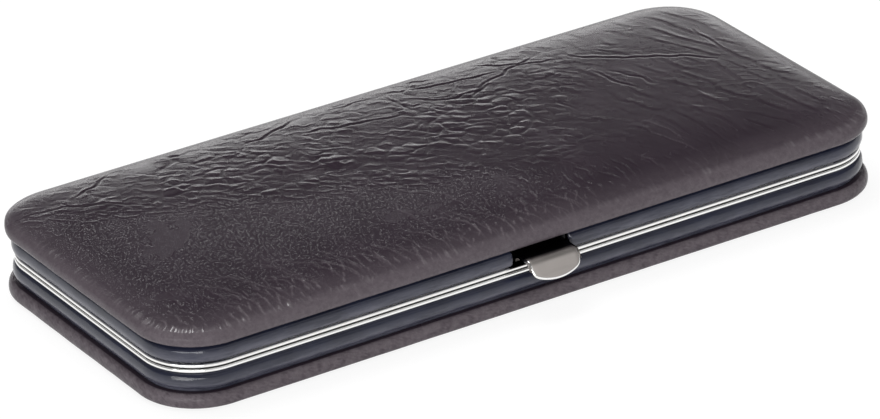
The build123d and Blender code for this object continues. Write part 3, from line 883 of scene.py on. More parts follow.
def cover_grid(radius, inset, step):
    """A square grid bent into the cover's outline at an inset, and its boundary loop."""
    reach = radius - inset
    a, b = HALF_LENGTH - radius, HALF_WIDTH - radius
    corner = max(4, int(round(reach * 1.2 / step)))

    def line(half, full):
        middle = max(2, int(round(2 * half / step)))
        return np.concatenate([np.linspace(-full, -half, corner + 1)[:-1],
                               np.linspace(-half, half, middle + 1)[:-1],
                               np.linspace(half, full, corner + 1)])

    gx, gy = np.meshgrid(line(a, a + reach), line(b, b + reach))
    u, v = np.clip(np.abs(gx) - a, 0, None), np.clip(np.abs(gy) - b, 0, None)
    size = np.hypot(u, v)
    scale = np.where(size > 0, np.maximum(u, v) / np.maximum(size, 1e-12), 1.0)
    x = np.sign(gx) * (np.minimum(np.abs(gx), a) + u * scale)
    y = np.sign(gy) * (np.minimum(np.abs(gy), b) + v * scale)
    index = np.arange(gx.size).reshape(gx.shape)
    loop = np.concatenate([index[0, :-1], index[:-1, -1], index[-1, :0:-1], index[:0:-1, 0]])
    quads = np.column_stack([index[:-1, :-1].ravel(), index[:-1, 1:].ravel(),
                             index[1:, 1:].ravel(), index[1:, :-1].ravel()])
    return x.ravel(), y.ravel(), loop, [tuple(q) for q in quads]


def edge_distance(x, y, radius):
    """Distance of points inside the outline from its edge."""
    qx, qy = np.abs(x) - (HALF_LENGTH - radius), np.abs(y) - (HALF_WIDTH - radius)
    outside = np.hypot(np.clip(qx, 0, None), np.clip(qy, 0, None))
    return radius - (outside + np.minimum(np.maximum(qx, qy), 0))


def padded_edge(distance, width, drop, power=3.1):
    """How far a padded face has fallen at a distance from its edge."""
    share = np.clip(1 - distance / width, 0, 1) ** power
    return drop * (1 - (1 - share) ** (1 / power))


def hang_rings(start, faces, loop, rings):
    """Joins rings that hang from a boundary loop, and closes the last one."""
    previous = loop
    for number in range(len(rings)):
        current = start + number * len(loop) + np.arange(len(loop))
        faces += list(zip(previous, current, np.roll(current, -1), np.roll(previous, -1)))
        previous = current
    faces.append(tuple(reversed(previous)))


def loop_frame(x, y, loop, radius):
    """Corner centres and outward normals along a boundary loop."""
    corner_x = np.clip(x[loop], -(HALF_LENGTH - radius), HALF_LENGTH - radius)
    corner_y = np.clip(y[loop], -(HALF_WIDTH - radius), HALF_WIDTH - radius)
    bases = np.column_stack([corner_x, corner_y])
    normals = np.column_stack([x[loop], y[loop]]) - bases
    return bases, normals / np.linalg.norm(normals, axis=1)[:, None]


def rim_facing(x, y, radius):
    """Which way the nearest rim faces: highest along the front, lower at the left, below 0 elsewhere."""
    u = x - np.clip(x, -(HALF_LENGTH - radius), HALF_LENGTH - radius)
    v = y - np.clip(y, -(HALF_WIDTH - radius), HALF_WIDTH - radius)
    return -(0.35 * u + 0.85 * v) / np.maximum(np.hypot(u, v), 0.3 * radius)


def pleats(x, y, radius, distance, random):
    """Small puckers where the leather is drawn over the front and left rims."""
    a, b = HALF_LENGTH - radius, HALF_WIDTH - radius
    turn = np.arctan2(np.clip(np.abs(y) - b, 0, None), np.clip(np.abs(x) - a, 1e-9, None))
    along = np.clip(x, -a, a) + np.clip(y, -b, b) + radius * turn
    reach = HALF_LENGTH + HALF_WIDTH + 2 * radius
    fine, slow = (np.arange(-reach, reach, pitch) for pitch in (PLEAT_KNOTS, PLEAT_PATCHES))
    folds = np.interp(along, fine, random.normal(0, 1, len(fine)))
    some = np.clip(np.interp(along, slow, random.uniform(-0.3, 1.3, len(slow))), 0.15, 1)
    place = ramp(distance, *PLEAT_RISE) * (1 - ramp(distance, *PLEAT_FADE))
    return np.clip(1.1 * folds - 0.2, 0, 1.2) * some * place * ramp(rim_facing(x, y, radius), -0.1, 0.5)


def rim_section(inner_round, width, drop):
    """The rim's section below the face as (inset, height, how much paler it is painted, part rubbing and part
    painted light): over the edge, down and turned in.
    """
    section = []
    for share in EDGE_SHARES:
        inset = FIRST_RING * share
        section.append((inset, -float(padded_edge(inset, width, drop)), 0.84 - 0.1 * share))
    for t in np.linspace(0, math.pi / 2, 9)[1:]:
        height = -drop - (COVER_THICKNESS - drop) * math.sin(t)
        rub_and_light = (0.84 + 0.3 * math.sin(t)) * max(math.cos(t), 0) ** 0.25
        section.append((inner_round * (1 - math.cos(t)), height, rub_and_light))
    return section + [(inset, -COVER_THICKNESS, 0.0) for inset in HEM_INSETS]


def rim_rings(path, radius, section, drop, outer_z, upper, raised, seed):
    """Rings of points down the rim, which wander a little and hang from a raised edge, and how much paler each
    is painted, part rubbing and part painted light.
    """
    bases, normals = path
    count = len(bases)
    stray = np.random.default_rng(seed + 1).normal(0, RIM_STRAY, RIM_KNOTS)
    stray = np.interp(np.arange(count), np.linspace(0, count, RIM_KNOTS), stray, period=count)
    uneven = np.random.default_rng(seed + 2).normal(0, 1, (len(section), count))
    streaks = 1 + (0.08 if upper else 0.4) * uneven
    streaks = sum(np.roll(streaks, by, (0, 1)) for by in ((0, 0), (1, 0), (0, 1), (2, 1))) / 4
    rings, rub_and_light_rings = [], []
    for (inset, height, rub_and_light), streak in zip(section, streaks):
        ring = ring_points(bases, normals, radius, inset, outer_z + (height if upper else -height))
        ring[:, :2] += normals * (stray * rub_and_light)[:, None]
        held = min(1.0, (COVER_THICKNESS + height) / (COVER_THICKNESS - drop)) * min(1.0, -height / drop)
        ring[:, 2] += raised * drop * held
        rings.append(ring)
        rub_and_light_rings.append(rub_and_light * streak)
    return rings, rub_and_light_rings


def cover_skin(name, outer_z, upper, step, crown, relief, seed):
    """One padded cover: creased face, soft shoulder, rounded rim, turned-in edge."""
    form = settings().form
    radius = form.corner_radius
    width, drop = form.shoulder_width, form.shoulder_drop
    if not upper:
        width, drop = 0.5 * width, 0.8 * drop
    x, y, loop, faces = cover_grid(radius, FIRST_RING, step)
    height, creased, wear_and_highlight, pebbled = crushed_grain(x, y, settings().crease, seed)
    distance, facing = edge_distance(x, y, radius), rim_facing(x, y, radius)
    calm = ramp(distance, 1.2 * MM, 4.2 * MM)
    pucker = pleats(x, y, radius, distance, np.random.default_rng(seed + 5))
    rise = (height * calm + form.pleat_height * pucker) * relief
    if not upper:
        rise = np.minimum(rise, 0.0)
    swell = crown * (1 - (np.abs(y) / HALF_WIDTH) ** 3) * (1 - (np.abs(x) / HALF_LENGTH) ** 6)
    fuller = form.full_back * (1 - ramp(facing, -0.3, 0.2)) * upper
    lift = rise + swell - padded_edge(distance, width, drop) * (1 - fuller)
    face = np.column_stack([x, y, outer_z + (lift if upper else -lift)])
    section = rim_section(form.inner_round, width, drop)
    rings, rub_and_light_rings = rim_rings(loop_frame(x, y, loop, radius), radius, section, drop, outer_z, upper,
                            fuller[loop], seed)
    hang_rings(len(face), faces, loop, rings)
    if not upper:
        faces = [tuple(reversed(f)) for f in faces]
    piece = make_piece(name, np.vstack([face, *rings]), faces, finish("crushed_cover_leather"))
    # The rim is painted paler, most where it faces the front and left: part rubbing, part painted light;
    # crests and puckers add a painted highlight.
    towards = 0.3 + 0.7 * ramp(facing, -0.2, 0.7)
    near, wide = 1 - ramp(distance, 0.6 * MM, 2.8 * MM), 1 - ramp(distance, 1.0 * MM, 9.5 * MM)
    rim = towards * (0.40 * near + 0.36 * wide) + wear_and_highlight * ramp(distance, 0.5 * MM, 1.6 * MM) + 0.4 * pucker
    rest = len(loop) * len(rings)
    # crease holds the painted shade of the creases; rim holds the paling, part rubbing and part painted light.
    marks = {
        "crease": (creased * calm, np.zeros(rest)),
        "rim": (rim, (np.array(rub_and_light_rings) * towards[loop]).ravel()),
        "pebbled": (pebbled, np.ones(rest)),
        "pleat": (pucker, np.zeros(rest)),
    }
    for label, (on_face, on_rim) in marks.items():
        add_attribute(piece, label, np.clip(np.concatenate([on_face, on_rim]), 0, 1))
    return piece


class CASE_OT_covers(bpy.types.Operator):
    """Builds the padded leather covers and dresses the boards inside them"""

    bl_idname = "manicure_case.covers"
    bl_label = "Leather covers"

    def execute(self, context):
        form, seed = settings().form, settings().crease.seed
        step = form.grid_step * 1.0
        top = cover_skin("top_cover_skin", CASE_HEIGHT, True, step, form.crown, 1.0, seed)
        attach(top, "lid")
        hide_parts("top_cover_leather", "top_cover_foam")
        bottom = cover_skin("bottom_cover_skin", cover_low.z, False, 2 * step, 0.0, 0.5, seed + 7)
        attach(bottom, "base")
        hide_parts("bottom_cover_leather", "bottom_cover_foam")
        dress(["top_cover_board", "bottom_cover_board"], "cover_board")
        return {"FINISHED"}


# ---------------------------------------------------------------- metalwork
# The latch tab in side view as (y, z): its pivot, the turn at the top and the tip; then its own sizes
PIVOT = (-31.5 * MM, 11.4 * MM)
TAB_TURN = (-39.15 * MM, 11.4 * MM)
TAB_TIP = (-41.5 * MM, 7.8 * MM)
TAB_HALF_WIDTH, TAB_BOW, TAB_SHEET, TAB_BEND = 5.6 * MM, 1.3 * MM, 0.8 * MM, 1.1 * MM
TAB_CELLS, ROUND_STEPS = 12, 9
HOOK_END = PIVOT[0] - 0.9 * MM
WELD_REACH, TAB_WELD_REACH = 0.001 * MM, 0.002 * MM


def unit_rows(vectors):
    return vectors / np.linalg.norm(vectors, axis=1)[:, None]


def tab_path():
    """Side view of the pressed tab: places along the sheet's middle, and the direction to its outer face."""
    turn, tip = np.array(TAB_TURN), np.array(TAB_TIP)
    slope = (tip - turn) / np.linalg.norm(tip - turn)
    level = np.column_stack([np.linspace(PIVOT[0] - 0.5 * MM, turn[0] + TAB_BEND, 6), np.full(6, PIVOT[1])])
    t = np.linspace(0, 1, 11)[1:-1, None]
    curve = (turn + (TAB_BEND, 0)) * (1 - t) ** 2 + turn * 2 * t * (1 - t) + (turn + slope * TAB_BEND) * t * t
    t = 1 - (1 - np.linspace(0, 1, 22)[:, None]) ** 1.6
    line = np.vstack([level, curve, turn + slope * TAB_BEND + t * (tip - turn - slope * TAB_BEND)])
    along = unit_rows(np.gradient(line, axis=0))
    return line, np.column_stack([along[:, 1], -along[:, 0]])


def tab_half_widths(heights):
    """Half the tab's width at heights above its tip: straight sides over one bowed lower edge."""
    radius = (TAB_HALF_WIDTH**2 + TAB_BOW**2) / (2 * TAB_BOW)
    bow = np.sqrt(np.maximum(radius**2 - (radius - heights) ** 2, 1e-12))
    return (bow**-7.0 + TAB_HALF_WIDTH**-7.0) ** (-1 / 7)


def tab_rings(line, normal):
    """The tab's outline, ring by ring over its rounded edge from the outer face to the inner one."""
    widths = tab_half_widths(line[:, 1] - line[-1, 1])
    edge, half = settings().form.latch_edge, TAB_SHEET / 2
    run = np.concatenate([[0], np.cumsum(np.linalg.norm(np.diff(line, axis=0), axis=1))])
    loop_w = np.concatenate([-widths[:-1], [0.0], widths[-2::-1]])
    loop_s = np.concatenate([run, run[-2::-1]])
    out = unit_rows(np.column_stack([-np.gradient(loop_s), np.gradient(loop_w)]))

    def place(w, s, rise):
        y, z = np.interp(s, run, line[:, 0]), np.interp(s, run, line[:, 1])
        ny, nz = np.interp(s, run, normal[:, 0]), np.interp(s, run, normal[:, 1])
        return np.column_stack([w, y + ny * rise, z + nz * rise])

    rings = []
    for turn in np.linspace(math.pi / 2, -math.pi / 2, ROUND_STEPS):
        inset = edge * (1 - math.cos(turn))
        rise = math.copysign(half - edge, turn) + edge * math.sin(turn) if turn else 0.0
        rings.append(place(loop_w - out[:, 0] * inset, np.minimum(loop_s - out[:, 1] * inset, run[-1]), rise))
    return rings


def tab_mesh():
    """Points, faces and each face's finish: 1 on the polished edge, 0 on the two satin faces."""
    line, normal = tab_path()
    rings = tab_rings(line, normal)
    rows, count = len(line), len(rings[0])
    points = [np.vstack(rings)]
    faces = row_faces(0, ROUND_STEPS, count, around=False)
    finishes = [1] * len(faces)
    start = ROUND_STEPS * count
    share = np.linspace(0, 1, TAB_CELLS + 1)[None, :, None]
    for ring, flip in ((0, False), (ROUND_STEPS - 1, True)):
        left, right = rings[ring][:rows - 1], rings[ring][:rows - 1:-1]
        points.append((left[:, None] * (1 - share) + right[:, None] * share).reshape(-1, 3))
        flat = row_faces(start, rows - 1, TAB_CELLS + 1, around=False)
        lowest = start + (rows - 2) * (TAB_CELLS + 1)
        flat.append(tuple(range(lowest, lowest + TAB_CELLS + 1)) + (ring * count + rows - 1,))
        faces += [tuple(reversed(face)) for face in flat] if flip else flat
        finishes += [0] * len(flat)
        start += (rows - 1) * (TAB_CELLS + 1)
    return np.vstack(points), faces, finishes


def latch_tab():
    """The lever: its hook and barrel from the frame, and a pressed satin tab with a polished rolled edge."""
    points, faces, finishes = tab_mesh()
    piece = make_piece("latch_tab", points, faces, finish("satin_nickel"))
    piece.data.materials.append(finish("polished_nickel"))
    piece.data.polygons.foreach_set("material_index", finishes)
    mesh = bmesh.new()
    mesh.from_mesh(piece.data)
    bmesh.ops.remove_doubles(mesh, verts=mesh.verts, dist=TAB_WELD_REACH)
    first = len(mesh.verts)
    mesh.from_mesh(NODES["latch_lever"].data)
    mesh.verts.ensure_lookup_table()
    old = mesh.verts[first:]
    edges = list({e for v in old for e in v.link_edges})
    sides = list({f for v in old for f in v.link_faces})
    cut = bmesh.ops.bisect_plane(mesh, geom=list(old) + edges + sides, plane_co=(0, HOOK_END, 0),
                                 plane_no=(0, -1, 0), clear_outer=True)
    bmesh.ops.holes_fill(mesh, edges=[e for e in cut["geom_cut"] if isinstance(e, bmesh.types.BMEdge)])
    bmesh.ops.recalc_face_normals(mesh, faces=mesh.faces)
    mesh.to_mesh(piece.data)
    mesh.free()
    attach(piece, "latch")
    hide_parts("latch_lever")


class CASE_OT_metalwork(bpy.types.Operator):
    """Nickels the rails, hinges, latch and rivets, and blackens the housing"""

    bl_idname = "manicure_case.metalwork"
    bl_label = "Metalwork"

    def execute(self, context):
        bright = [n for n in NODES if "frame" in n or "hinge" in n or "rivets" in n]
        dress(bright, "polished_nickel")
        dress(["striker", "latch_spring"], "satin_steel")
        dress(["latch_housing", "latch_housing_rivets", "latch_pin"], "blackened_sheet")
        latch_tab()
        for label in ("base_frame", "lid_frame", "latch_housing", "striker"):
            NODES[label].modifiers.new("joined_facets", "WELD").merge_threshold = WELD_REACH
            soft = NODES[label].modifiers.new("soft_edges", "BEVEL")
            soft.width, soft.segments = settings().form.metal_edge, 2
            soft.limit_method, soft.angle_limit = "ANGLE", math.radians(40)
            soft.harden_normals = True
        return {"FINISHED"}


# ---------------------------------------------------------------- bands and wall lining
def case_path(step, gap=0.0):
    """The outline path, cut open by a gap to each side of the front's middle where one is given."""
    bases, normals = outline_path(settings().form.corner_radius, step)
    if not gap:
        return bases, normals
    keep = (normals[:, 1] >= -0.999) | (np.abs(bases[:, 0]) >= gap)
    edge, down = np.array([[gap, bases[0, 1]]]), np.array([[0.0, -1.0]])
    return np.vstack([edge, bases[keep], edge * (-1, 1)]), np.vstack([down, normals[keep], down])


def swept_piece(name, material, path, section, closed, shift):
    """Sweeps a closed section of (inset, height) along a path; shift moves each ring after."""
    bases, normals = path
    radius, count = settings().form.corner_radius, len(bases)
    rings = [shift(ring_points(bases, normals, radius, inset, height), normals, number)
             for number, (inset, height) in enumerate(section)]
    faces = row_faces(0, len(rings), count, around=closed, ends=True)
    if not closed:
        first = [number * count for number in range(len(rings))]
        faces += [tuple(first), tuple(reversed([i + count - 1 for i in first]))]
    piece = make_piece(name, np.vstack(rings), faces, finish(material))
    face_outwards(piece)
    return piece


def upside_down(section):
    return [(inset, CASE_HEIGHT - z) for inset, z in reversed(section)]


BOW_POINTS = 17


def band_section():
    """Flat against the frame, grooved next to the cover and bowed outwards above the groove."""
    low, high = band_low.z, band_high.z
    foot = low + 0.45 * MM
    middle, half = (foot + high) / 2, (high - foot) / 2
    bow = [((1.05 + 0.5 * t * t + 0.4 * abs(t) ** 12) * MM, middle + half * 0.95 * t)
           for t in np.linspace(-1, 1, BOW_POINTS)]
    return ([(2.4 * MM, low), (2.0 * MM, low), (1.98 * MM, foot - 0.08 * MM)] + bow
            + [(2.0 * MM, high), (2.4 * MM, high), (2.4 * MM, middle)])


def clear_hinge(ring, room=1.45 * MM):
    """Holds a ring of points off the hinge knuckles."""
    beside = np.abs(np.abs(ring[:, 0]) - HINGE_X) < HINGE_REACH + 0.5 * MM
    dy, dz = ring[:, 1] - HINGE_Y, ring[:, 2] - PARTING
    away = np.hypot(dy, dz)
    near = beside & (ring[:, 1] > 0) & (away < room)
    ring[:, 2] = np.where(near, PARTING + dz * room / np.maximum(away, 0.001 * MM), ring[:, 2])


def band_skin(name, lid, seed):
    """One glossy side band, slightly uneven where the leather is drawn round the corners."""
    form = settings().form
    random = np.random.default_rng(seed)
    path = case_path(0.5 * MM, NOTCH_HALF if lid else 0.0)
    count = len(path[0])
    slow, quick = (np.interp(np.arange(count), np.linspace(0, count, knots), random.normal(0, 1, knots),
                             period=count) for knots in (90, 420))
    turning = 1 - np.max(np.abs(path[1]), axis=1)
    first_bowed = 4 if lid else 3

    def shift(ring, normals, number):
        bowed = first_bowed <= number < first_bowed + BOW_POINTS
        wave = form.band_wave * (slow + (0.25 + 3.0 * turning) * quick * math.sin(number * 0.9)) * bowed
        ring[:, :2] += normals * wave[:, None]
        clear_hinge(ring)
        return ring

    section = upside_down(band_section()) if lid else band_section()
    piece = swept_piece(name, "glossy_band_leather", path, section, not lid, shift)
    low = CASE_HEIGHT - band_high.z if lid else band_low.z
    heights = np.repeat([(z - low) / (band_high.z - band_low.z) for _, z in section], count)
    # Painted reflection and shade: each band is painted paler towards its bottom and stays dark towards its
    # top.
    rub_and_light = (1.0 if lid else 1.3) * (1 - ramp(heights, 0.1, 0.85))
    add_attribute(piece, "rub_and_light", np.clip(rub_and_light, 0, 1))
    return piece


class CASE_OT_bands(bpy.types.Operator):
    """Wraps the glossy leather bands round both halves"""

    bl_idname = "manicure_case.bands"
    bl_label = "Side bands"

    def execute(self, context):
        seed = settings().crease.seed
        for half, lid, pattern in (("base", False, seed + 21), ("lid", True, seed + 22)):
            piece = band_skin(f"{half}_band_skin", lid, pattern)
            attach(piece, half)
            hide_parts(f"{half}_side_band")
        return {"FINISHED"}


# Insets of the wall lining's two faces, and the heights it is cut down to at the hinges and the latch
WALL_OUTER, WALL_INNER = 3.2 * MM, 3.9 * MM
HINGE_ROOM, LATCH_ROOM = 4.95 * MM, 4.6 * MM


def wall_section():
    """A skin against the frame wall with a rolled top edge."""
    half = (WALL_INNER - WALL_OUTER) / 2
    middle_z = (wall_low.z + wall_high.z) / 2
    roll = [(WALL_OUTER + half - half * math.cos(t), wall_high.z - half + half * math.sin(t))
            for t in np.linspace(0, math.pi, 7)]
    return ([(WALL_OUTER, wall_low.z), (WALL_OUTER, middle_z)] + roll
            + [(WALL_INNER, middle_z), (WALL_INNER, wall_low.z)])


def wall_lining(name, lid):
    """The suede on one half's wall, lower at the hinges and, in the base, at the latch."""
    low, high = wall_low.z, wall_high.z

    def shift(ring, normals, number):
        height = CASE_HEIGHT - ring[:, 2] if lid else ring[:, 2]
        at_hinge = (ring[:, 1] > 0) * (1 - ramp(np.abs(np.abs(ring[:, 0]) - HINGE_X), 9.1 * MM, 9.6 * MM))
        limit = high + (HINGE_ROOM - high) * at_hinge
        if not lid:
            at_latch = (ring[:, 1] < 0) * (1 - ramp(np.abs(ring[:, 0]), 6.3 * MM, 6.8 * MM))
            limit = limit + (LATCH_ROOM - limit) * at_latch
        height = low + (height - low) * (limit - low) / (high - low)
        ring[:, 2] = CASE_HEIGHT - height if lid else height
        return ring

    path = case_path(0.8 * MM, HOUSING_HALF) if lid else case_path(0.5 * MM)
    section = upside_down(wall_section()) if lid else wall_section()
    return swept_piece(name, "suede_lining", path, section, not lid, shift)


# The cushions' inset, their rounded edge as (width, drop), and how deep the sides go
CUSHION_INSET, CUSHION_EDGE, CUSHION_FOOT = 3.95 * MM, (2.2 * MM, 0.75 * MM), 4.0 * MM
# Where the lid cushion starts to draw back and where its front ends up
DRAW_START, DRAWN_FRONT = -24.0 * MM, -29.0 * MM


def clear_housing(points):
    """Draws the lid cushion's front edge back behind the latch housing."""
    inside = 1 - ramp(np.abs(points[:, 0]), HOUSING_HALF, HOUSING_HALF + 1.0 * MM)
    y, front = points[:, 1], -(HALF_WIDTH - CUSHION_INSET)
    share = np.clip((y - DRAW_START) / (front - DRAW_START), 0, None)
    moved = DRAW_START + share * (DRAWN_FRONT - DRAW_START)
    points[:, 1] = np.where(y < DRAW_START, y + (moved - y) * inside, y)


def lining_cushion(name, lid, seed):
    """A thin suede cushion in the well of one half, soft at its edges and flat under the straps."""
    form = settings().form
    radius = form.corner_radius
    x, y, loop, faces = cover_grid(radius, CUSHION_INSET + 0.25 * MM, 0.9 * MM)
    distance = edge_distance(x, y, radius) - CUSHION_INSET
    dents = CreaseMap(seed)
    soft = dents.sample(dents.smooth_noise(9 * MM), x, y)
    swell = form.pad_swell * (1 - np.exp(-distance / (9 * MM))) * 0.5 + 0.03 * MM * soft
    if not lid:
        beside = np.abs(np.abs(x) - STRAP_X)
        swell = swell * ramp(beside, STRAP_HALF_WIDTH + 0.2 * MM, STRAP_HALF_WIDTH + 2.5 * MM)
    swell = np.minimum(swell, form.pad_swell)
    face = np.column_stack([x, y, WELL_FLOOR + swell - padded_edge(distance, *CUSHION_EDGE)])
    bases, normals = loop_frame(x, y, loop, radius)
    side = ((0.1 * MM, WELL_FLOOR - 0.5 * MM), (0.0, WELL_FLOOR - 0.72 * MM), (0.0, CUSHION_FOOT))
    rings = [ring_points(bases, normals, radius, CUSHION_INSET + inset, z) for inset, z in side]
    hang_rings(len(face), faces, loop, rings)
    points = np.vstack([face, *rings])
    if lid:
        points[:, 2] = CASE_HEIGHT - points[:, 2]
        faces = [tuple(reversed(f)) for f in faces]
        clear_housing(points)
    return make_piece(name, points, faces, finish("suede_lining"))


class CASE_OT_lining(bpy.types.Operator):
    """Lines both halves with suede"""

    bl_idname = "manicure_case.lining"
    bl_label = "Lining"

    def execute(self, context):
        seed = settings().crease.seed
        for half, lid in (("base", False), ("lid", True)):
            piece = wall_lining(f"{half}_wall_lining", lid)
            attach(piece, half)
            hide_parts(f"{half}_lining_wall")
        for half, lid, pattern in (("base", False, seed + 31), ("lid", True, seed + 32)):
            piece = lining_cushion(f"{half}_cushion", lid, pattern)
            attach(piece, half)
            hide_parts(f"{half}_lining_pad")
        return {"FINISHED"}


# ---------------------------------------------------------------- tool straps
LOOP_WIDTHS = (9.0 * MM, 12.0 * MM, 12.0 * MM, 9.0 * MM)
LOOP_FOOT, LOOP_HEIGHT = 3.0 * MM, 4.4 * MM
LOOP_BENDS = (0.75 * MM, 2.2 * MM, 2.2 * MM, 0.75 * MM)
# The strip's rounded edge, and its creased line as (inset, depth)
STRAP_EDGE = 0.3 * MM
STRAP_GROOVE = ((0.8 * MM, 0.0), (1.1 * MM, 0.07 * MM), (1.4 * MM, 0.0))
STITCH_TURNS, STITCH_STEPS, STITCH_STRAY = 8, 8, 0.05 * MM


def strap_line():
    """The strap's middle line as (y, height above the cushion), rounded, and its feet."""
    reach = sum(LOOP_WIDTHS) / 2 + LOOP_FOOT * (len(LOOP_WIDTHS) + 1) / 2
    half = STRAP_THICKNESS / 2
    corners, feet = [(-reach, half)], []
    y = -reach
    for width in LOOP_WIDTHS:
        feet.append(y + LOOP_FOOT / 2)
        y += LOOP_FOOT
        corners += [(y - half, half), (y - half, LOOP_HEIGHT + half),
                    (y + width + half, LOOP_HEIGHT + half), (y + width + half, half)]
        y += width
    feet.append(y + LOOP_FOOT / 2)
    corners.append((y + LOOP_FOOT, half))
    bends = [0.0, *(LOOP_BENDS * len(LOOP_WIDTHS)), 0.0]
    line = []
    for i, (corner, bend) in enumerate(zip(corners, bends)):
        if bend == 0:
            line.append(corner)
            continue
        before, here, after = (Vector((*corners[k], 0)) for k in (i - 1, i, i + 1))
        first = here + (before - here).normalized() * bend
        last = here + (after - here).normalized() * bend
        for t in np.linspace(0, 1, 7):
            p = first * (1 - t) ** 2 + here * 2 * t * (1 - t) + last * t * t
            line.append((p.x, p.y))
    return np.array(line), feet


def strap_section():
    """The strip's section as (across, up): rounded edges, and a creased line near each on the top."""
    half_w, half_t = STRAP_HALF_WIDTH, STRAP_THICKNESS / 2
    section = []
    for side_x, side_z, first in ((1, -1, -90), (1, 1, 0), (-1, 1, 90), (-1, -1, 180)):
        for t in np.radians(np.linspace(first, first + 90, 4)):
            section.append((side_x * (half_w - STRAP_EDGE) + STRAP_EDGE * math.cos(t),
                            side_z * (half_t - STRAP_EDGE) + STRAP_EDGE * math.sin(t)))
        if (side_x, side_z) == (1, 1):
            section += [(half_w - inset, half_t - dip) for inset, dip in STRAP_GROOVE]
            section += [(0.0, half_t)]
            section += [(inset - half_w, half_t - dip) for inset, dip in reversed(STRAP_GROOVE)]
    return section


def strap_strip(name, x):
    """A leather strip bowed up into loops."""
    line, _ = strap_line()
    tangent = unit_rows(np.gradient(line, axis=0))
    section = strap_section()
    points = [(x + across, y - climb * up, WELL_FLOOR + z + level * up)
              for (y, z), (level, climb) in zip(line, tangent) for across, up in section]
    count = len(section)
    faces = row_faces(0, len(line), count)
    faces += [tuple(reversed(range(count))), tuple(range((len(line) - 1) * count, len(line) * count))]
    piece = make_piece(name, points, faces, finish("strap_leather"))
    face_outwards(piece)
    return piece


def stitch(x, y, z, start):
    """One stitch along X that rises out of the leather and dips back in."""
    length, radius = settings().form.stitch_length, settings().form.thread_radius
    points = []
    for t in np.arange(STITCH_STEPS + 1) / STITCH_STEPS:
        rise = radius * (1.5 * math.sin(math.pi * t) - 0.9)
        for angle in 2 * math.pi * np.arange(STITCH_TURNS) / STITCH_TURNS:
            points.append((x + (t - 0.5) * length, y + radius * math.cos(angle),
                           z + rise + radius * math.sin(angle)))
    return points, row_faces(start, STITCH_STEPS + 1, STITCH_TURNS)


def strap_stitches(name, x, seed):
    """A row of stitches across each foot of a strap."""
    random = np.random.default_rng(seed)
    pitch = settings().form.stitch_length * 1.25
    count = int(2 * (STRAP_HALF_WIDTH - 1.2 * MM) / pitch)
    places = x + (np.arange(count) - (count - 1) / 2) * pitch
    points, faces = [], []
    for foot in strap_line()[1]:
        for place in places:
            y = foot + random.normal(0, STITCH_STRAY)
            more, sides = stitch(place, y, WELL_FLOOR + STRAP_THICKNESS, len(points))
            points += more
            faces += sides
    return make_piece(name, points, faces, finish("sewing_thread"))


class CASE_OT_straps(bpy.types.Operator):
    """Sews the looped tool straps to the base cushion"""

    bl_idname = "manicure_case.straps"
    bl_label = "Tool straps"

    def execute(self, context):
        for side, x, seed in (("left", -STRAP_X, 41), ("right", STRAP_X, 42)):
            strap = strap_strip(f"tool_strap_{side}", x)
            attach(strap, "base")
            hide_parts(f"tool_band_{side}")
            sewn = strap_stitches(f"tool_strap_{side}_stitches", x, seed)
            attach(sewn, "base")
        return {"FINISHED"}


# ---------------------------------------------------------------- stage
FLOOR_REACH, FLOOR_GAP = 3.0, 0.05 * MM
SENSOR_WIDTH, CLIP_START, CLIP_END = 36.0, 0.05, 20.0


def area_light(name, place, size, power):
    """A rectangular light that faces the case."""
    data = bpy.data.lights.new(name, "AREA")
    data.shape = "RECTANGLE"
    data.size, data.size_y = size
    data.energy = power
    lamp = bpy.data.objects.new(name, data)
    bpy.context.scene.collection.objects.link(lamp)
    lamp.location = place
    lamp.rotation_euler = (-Vector(place)).to_track_quat("-Z", "Y").to_euler()


def seen_or_lit(make, seen, lit):
    """One shader where camera, glossy and transmission rays meet it, another for the light itself."""
    path = make.add("LightPath").outputs
    direct = make.maths("MAXIMUM", path["Is Camera Ray"], path["Is Glossy Ray"])
    mix = make.add("MixShader")
    make.put(mix.inputs[0], make.maths("MAXIMUM", direct, path["Is Transmission Ray"]))
    make.put(mix.inputs[1], lit)
    make.put(mix.inputs[2], seen)
    return mix.outputs[0]


def set_world(strength):
    """Even light; a white backdrop up to a low height and a dimmer ceiling for what mirrors it."""
    world = bpy.data.worlds.new("pale_studio")
    bpy.context.scene.world = world
    world.use_nodes = True
    world.node_tree.nodes.clear()
    make = Wiring(world.node_tree)
    even = make.add("Background", Color=(1, 1, 1), Strength=strength)
    height = make.apart(make.add("TexCoord").outputs["Generated"])["Z"]
    backdrop = make.spread(height, 0.05, 0.27, 1.0, 0.19)
    brightest = make.maths("MAXIMUM", backdrop, make.add("LightPath").outputs["Is Camera Ray"])
    white = make.add("Background", Color=(1, 1, 1), Strength=brightest)
    make.add("OutputWorld", Surface=seen_or_lit(make, white.outputs[0], even.outputs[0]))


def floor_paper():
    """Pale paper that reads white and keeps the shadow."""
    make = Recipe("pale_floor")
    paper = make.add("BsdfDiffuse", Color=(0.20, 0.20, 0.20)).outputs[0]
    glow = make.add("Emission", Color=(1, 1, 1), Strength=0.87).outputs[0]
    both = make.add("AddShader")
    make.put(both.inputs[0], paper)
    make.put(both.inputs[1], glow)
    plain = make.add("BsdfDiffuse", Color=(0.8, 0.8, 0.8)).outputs[0]
    make.add("OutputMaterial", Surface=seen_or_lit(make, both.outputs[0], plain))
    return make.material


